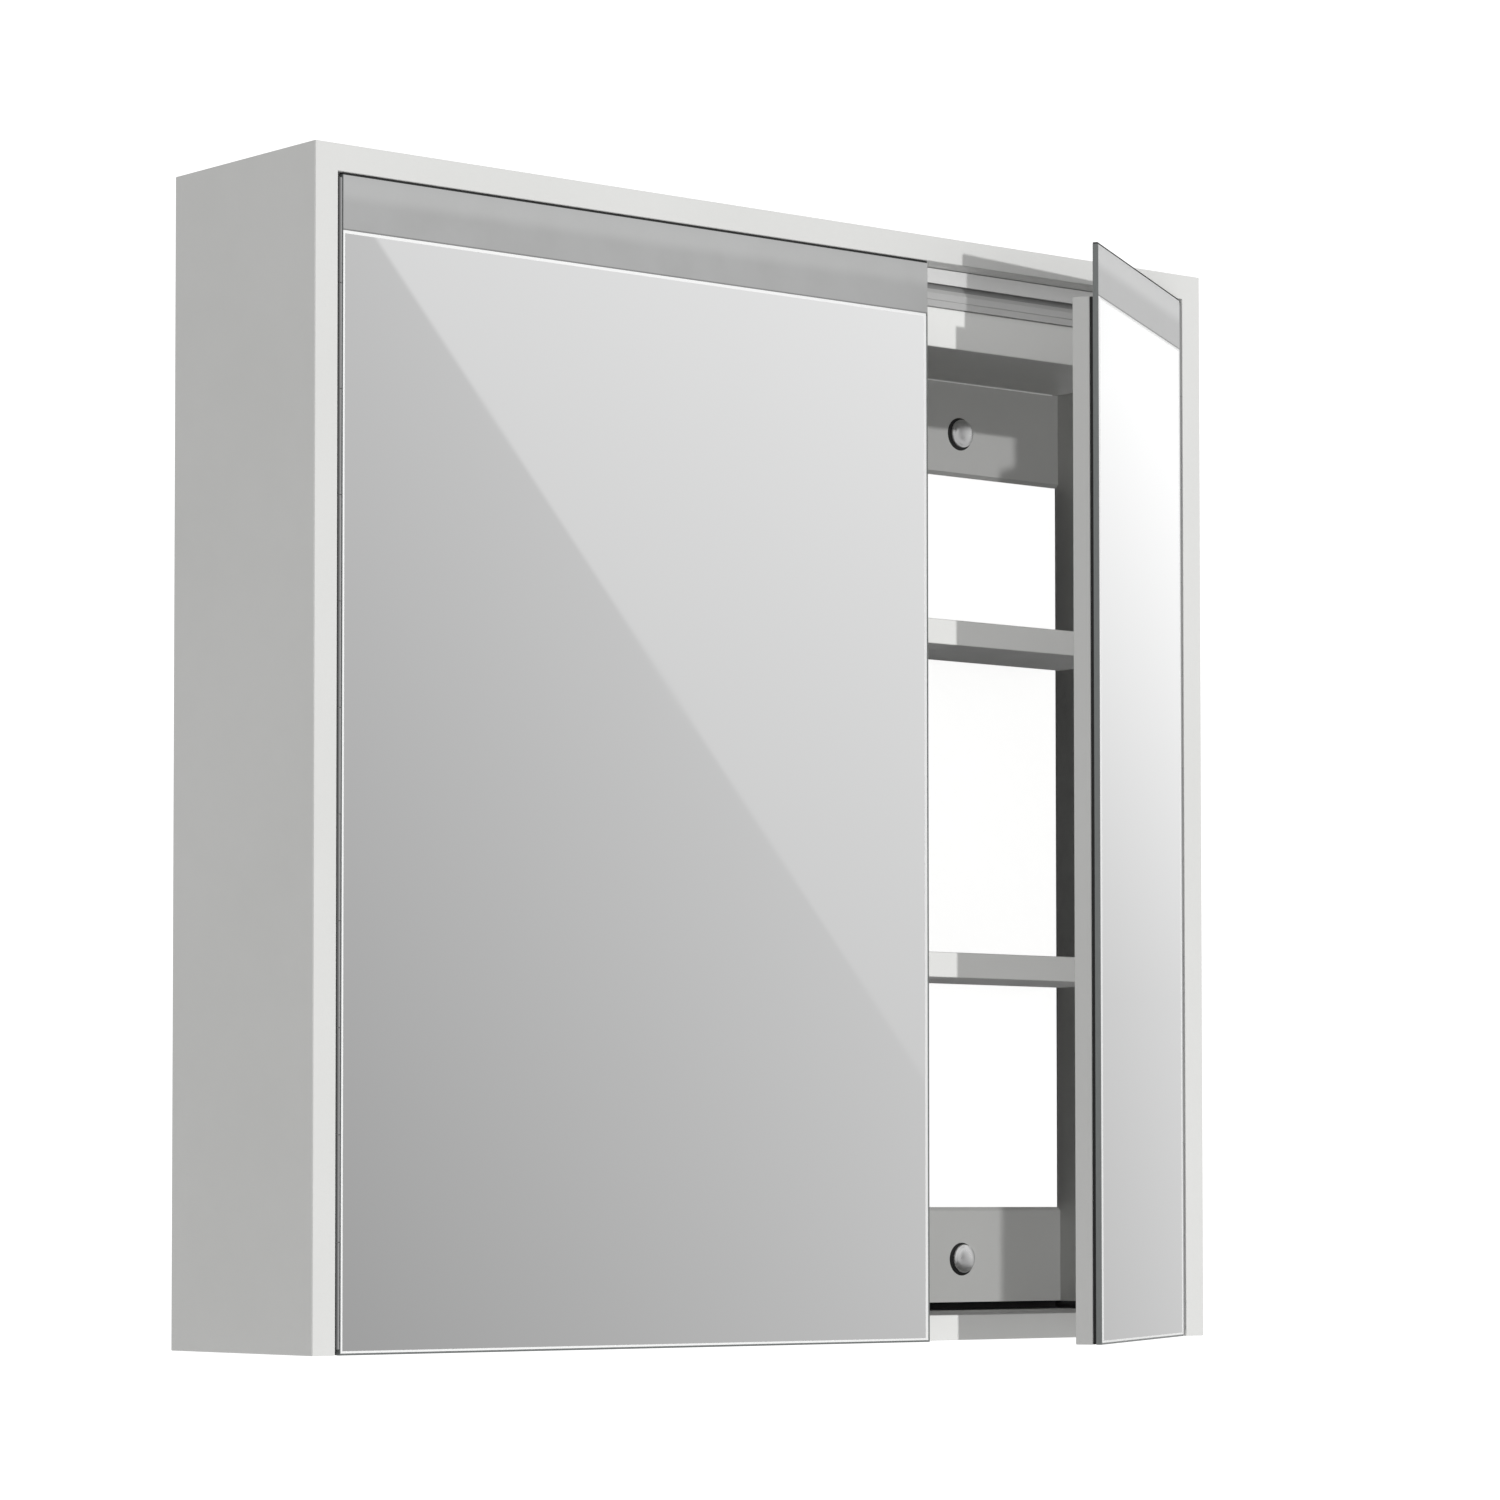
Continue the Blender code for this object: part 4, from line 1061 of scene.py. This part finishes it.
FLOOR_LEVEL, FLOOR_DISH, FLOOR_REACH = -1.75, 0.002, 8.0
FLAG_BOWL = 0.0008
SCRIM_SHARE, SCRIM_INSET, SCRIM_DEPTH, SCRIM_BOW = 0.6, 0.006, 0.0185, 0.002
AMBIENT, BACKDROP = 0.53, 1.15
ROOM_TONES, WALL_TONE = (190.0, 235.0), 70.0
DARK_GREY, LIGHT_GREY = (188.7, 0.273, 0.157), (201.4, 0.142, 0.173)
EDGE_SLOPE, EDGE_PLACE, EDGE_SHARPNESS = 1.533, -58.2, 0.655
# Millimetres up the narrow card, from and to, and the tones there.
NARROW_ABOVE, NARROW_BELOW = (-4.0, 114.0, 144.0, 195.0), (-69.0, -4.0, -14.0, 0.0)
NARROW_SLOPE = 0.734
WIDE_BOUNDS, NARROW_BOUNDS, CARD_FADE = (140.0, 232.0), (110.0, 275.0), (0.84, 0.96)
KEY, RAIL_KEY = 1.38, 0.90
FRONT, RAIL = (0.104, 1.0, 0.07), (0.65, 1.0, -0.326)
# Name, key's travel, strength and spread, strength of the even light from straight ahead, and the pieces
# lit. Each group has its own key, so that the open door's shadow falls where it should on it.
LIGHTING = (
    ("upper", (-0.048, 1.0, 0.07), KEY, 1.0, 0.0, ("top_panel", "front_edging")),
    ("lamp_shelf", (0.104, 1.0, -0.01), 1.58, 1.0, 0.62, ("light_shelf",)),
    ("shelf", (0.226, 1.0, 0.07), 1.63, 1.0, 1.10, ("upper_shelf", "lower_shelf")),
    ("upper_rail", RAIL, RAIL_KEY, 1.5, 0.27, ("upper_fixing_rail", "cover_cap", "cap_gasket")),
    ("lower_rail", RAIL, RAIL_KEY, 1.5, 0.43, ("lower_fixing_rail",)),
    ("lamp", FRONT, 1.05, 1.0, 0.46, ("light_body", "light_diffuser", "light_reflector")),
    ("bottom", (0.104, 1.0, -0.05), 1.72, 1.0, 0.30, ("bottom_panel",)),
    ("front", FRONT, KEY, 1.0, 0.0, ("",)),
)
UNLIT = ("right_carrier_board", "peg", "floor", "card", "scrim")


def add_lights():
    """A key, and where asked an even front light without shadow, for each group in turn."""
    waiting = [o for o in bpy.context.scene.objects
               if o.type == "MESH" and not any(part in o.name for part in UNLIT)]
    for name, travel, strength, spread, even, parts in LIGHTING:
        found = [o for o in waiting if any(part in o.name for part in parts)]
        waiting = [o for o in waiting if o not in found]
        add_sun(f"{name}_key", travel, strength, spread, found)
        if even:
            add_sun(f"{name}_fill", (0.0, 1.0, 0.0), even, 1.0, found, shadow=False)


add_floor()
add_flag()
add_scrim()
add_lights()
hide_reflections()
add_camera()
add_world()
bpy.context.scene.view_settings.view_transform = "Standard"
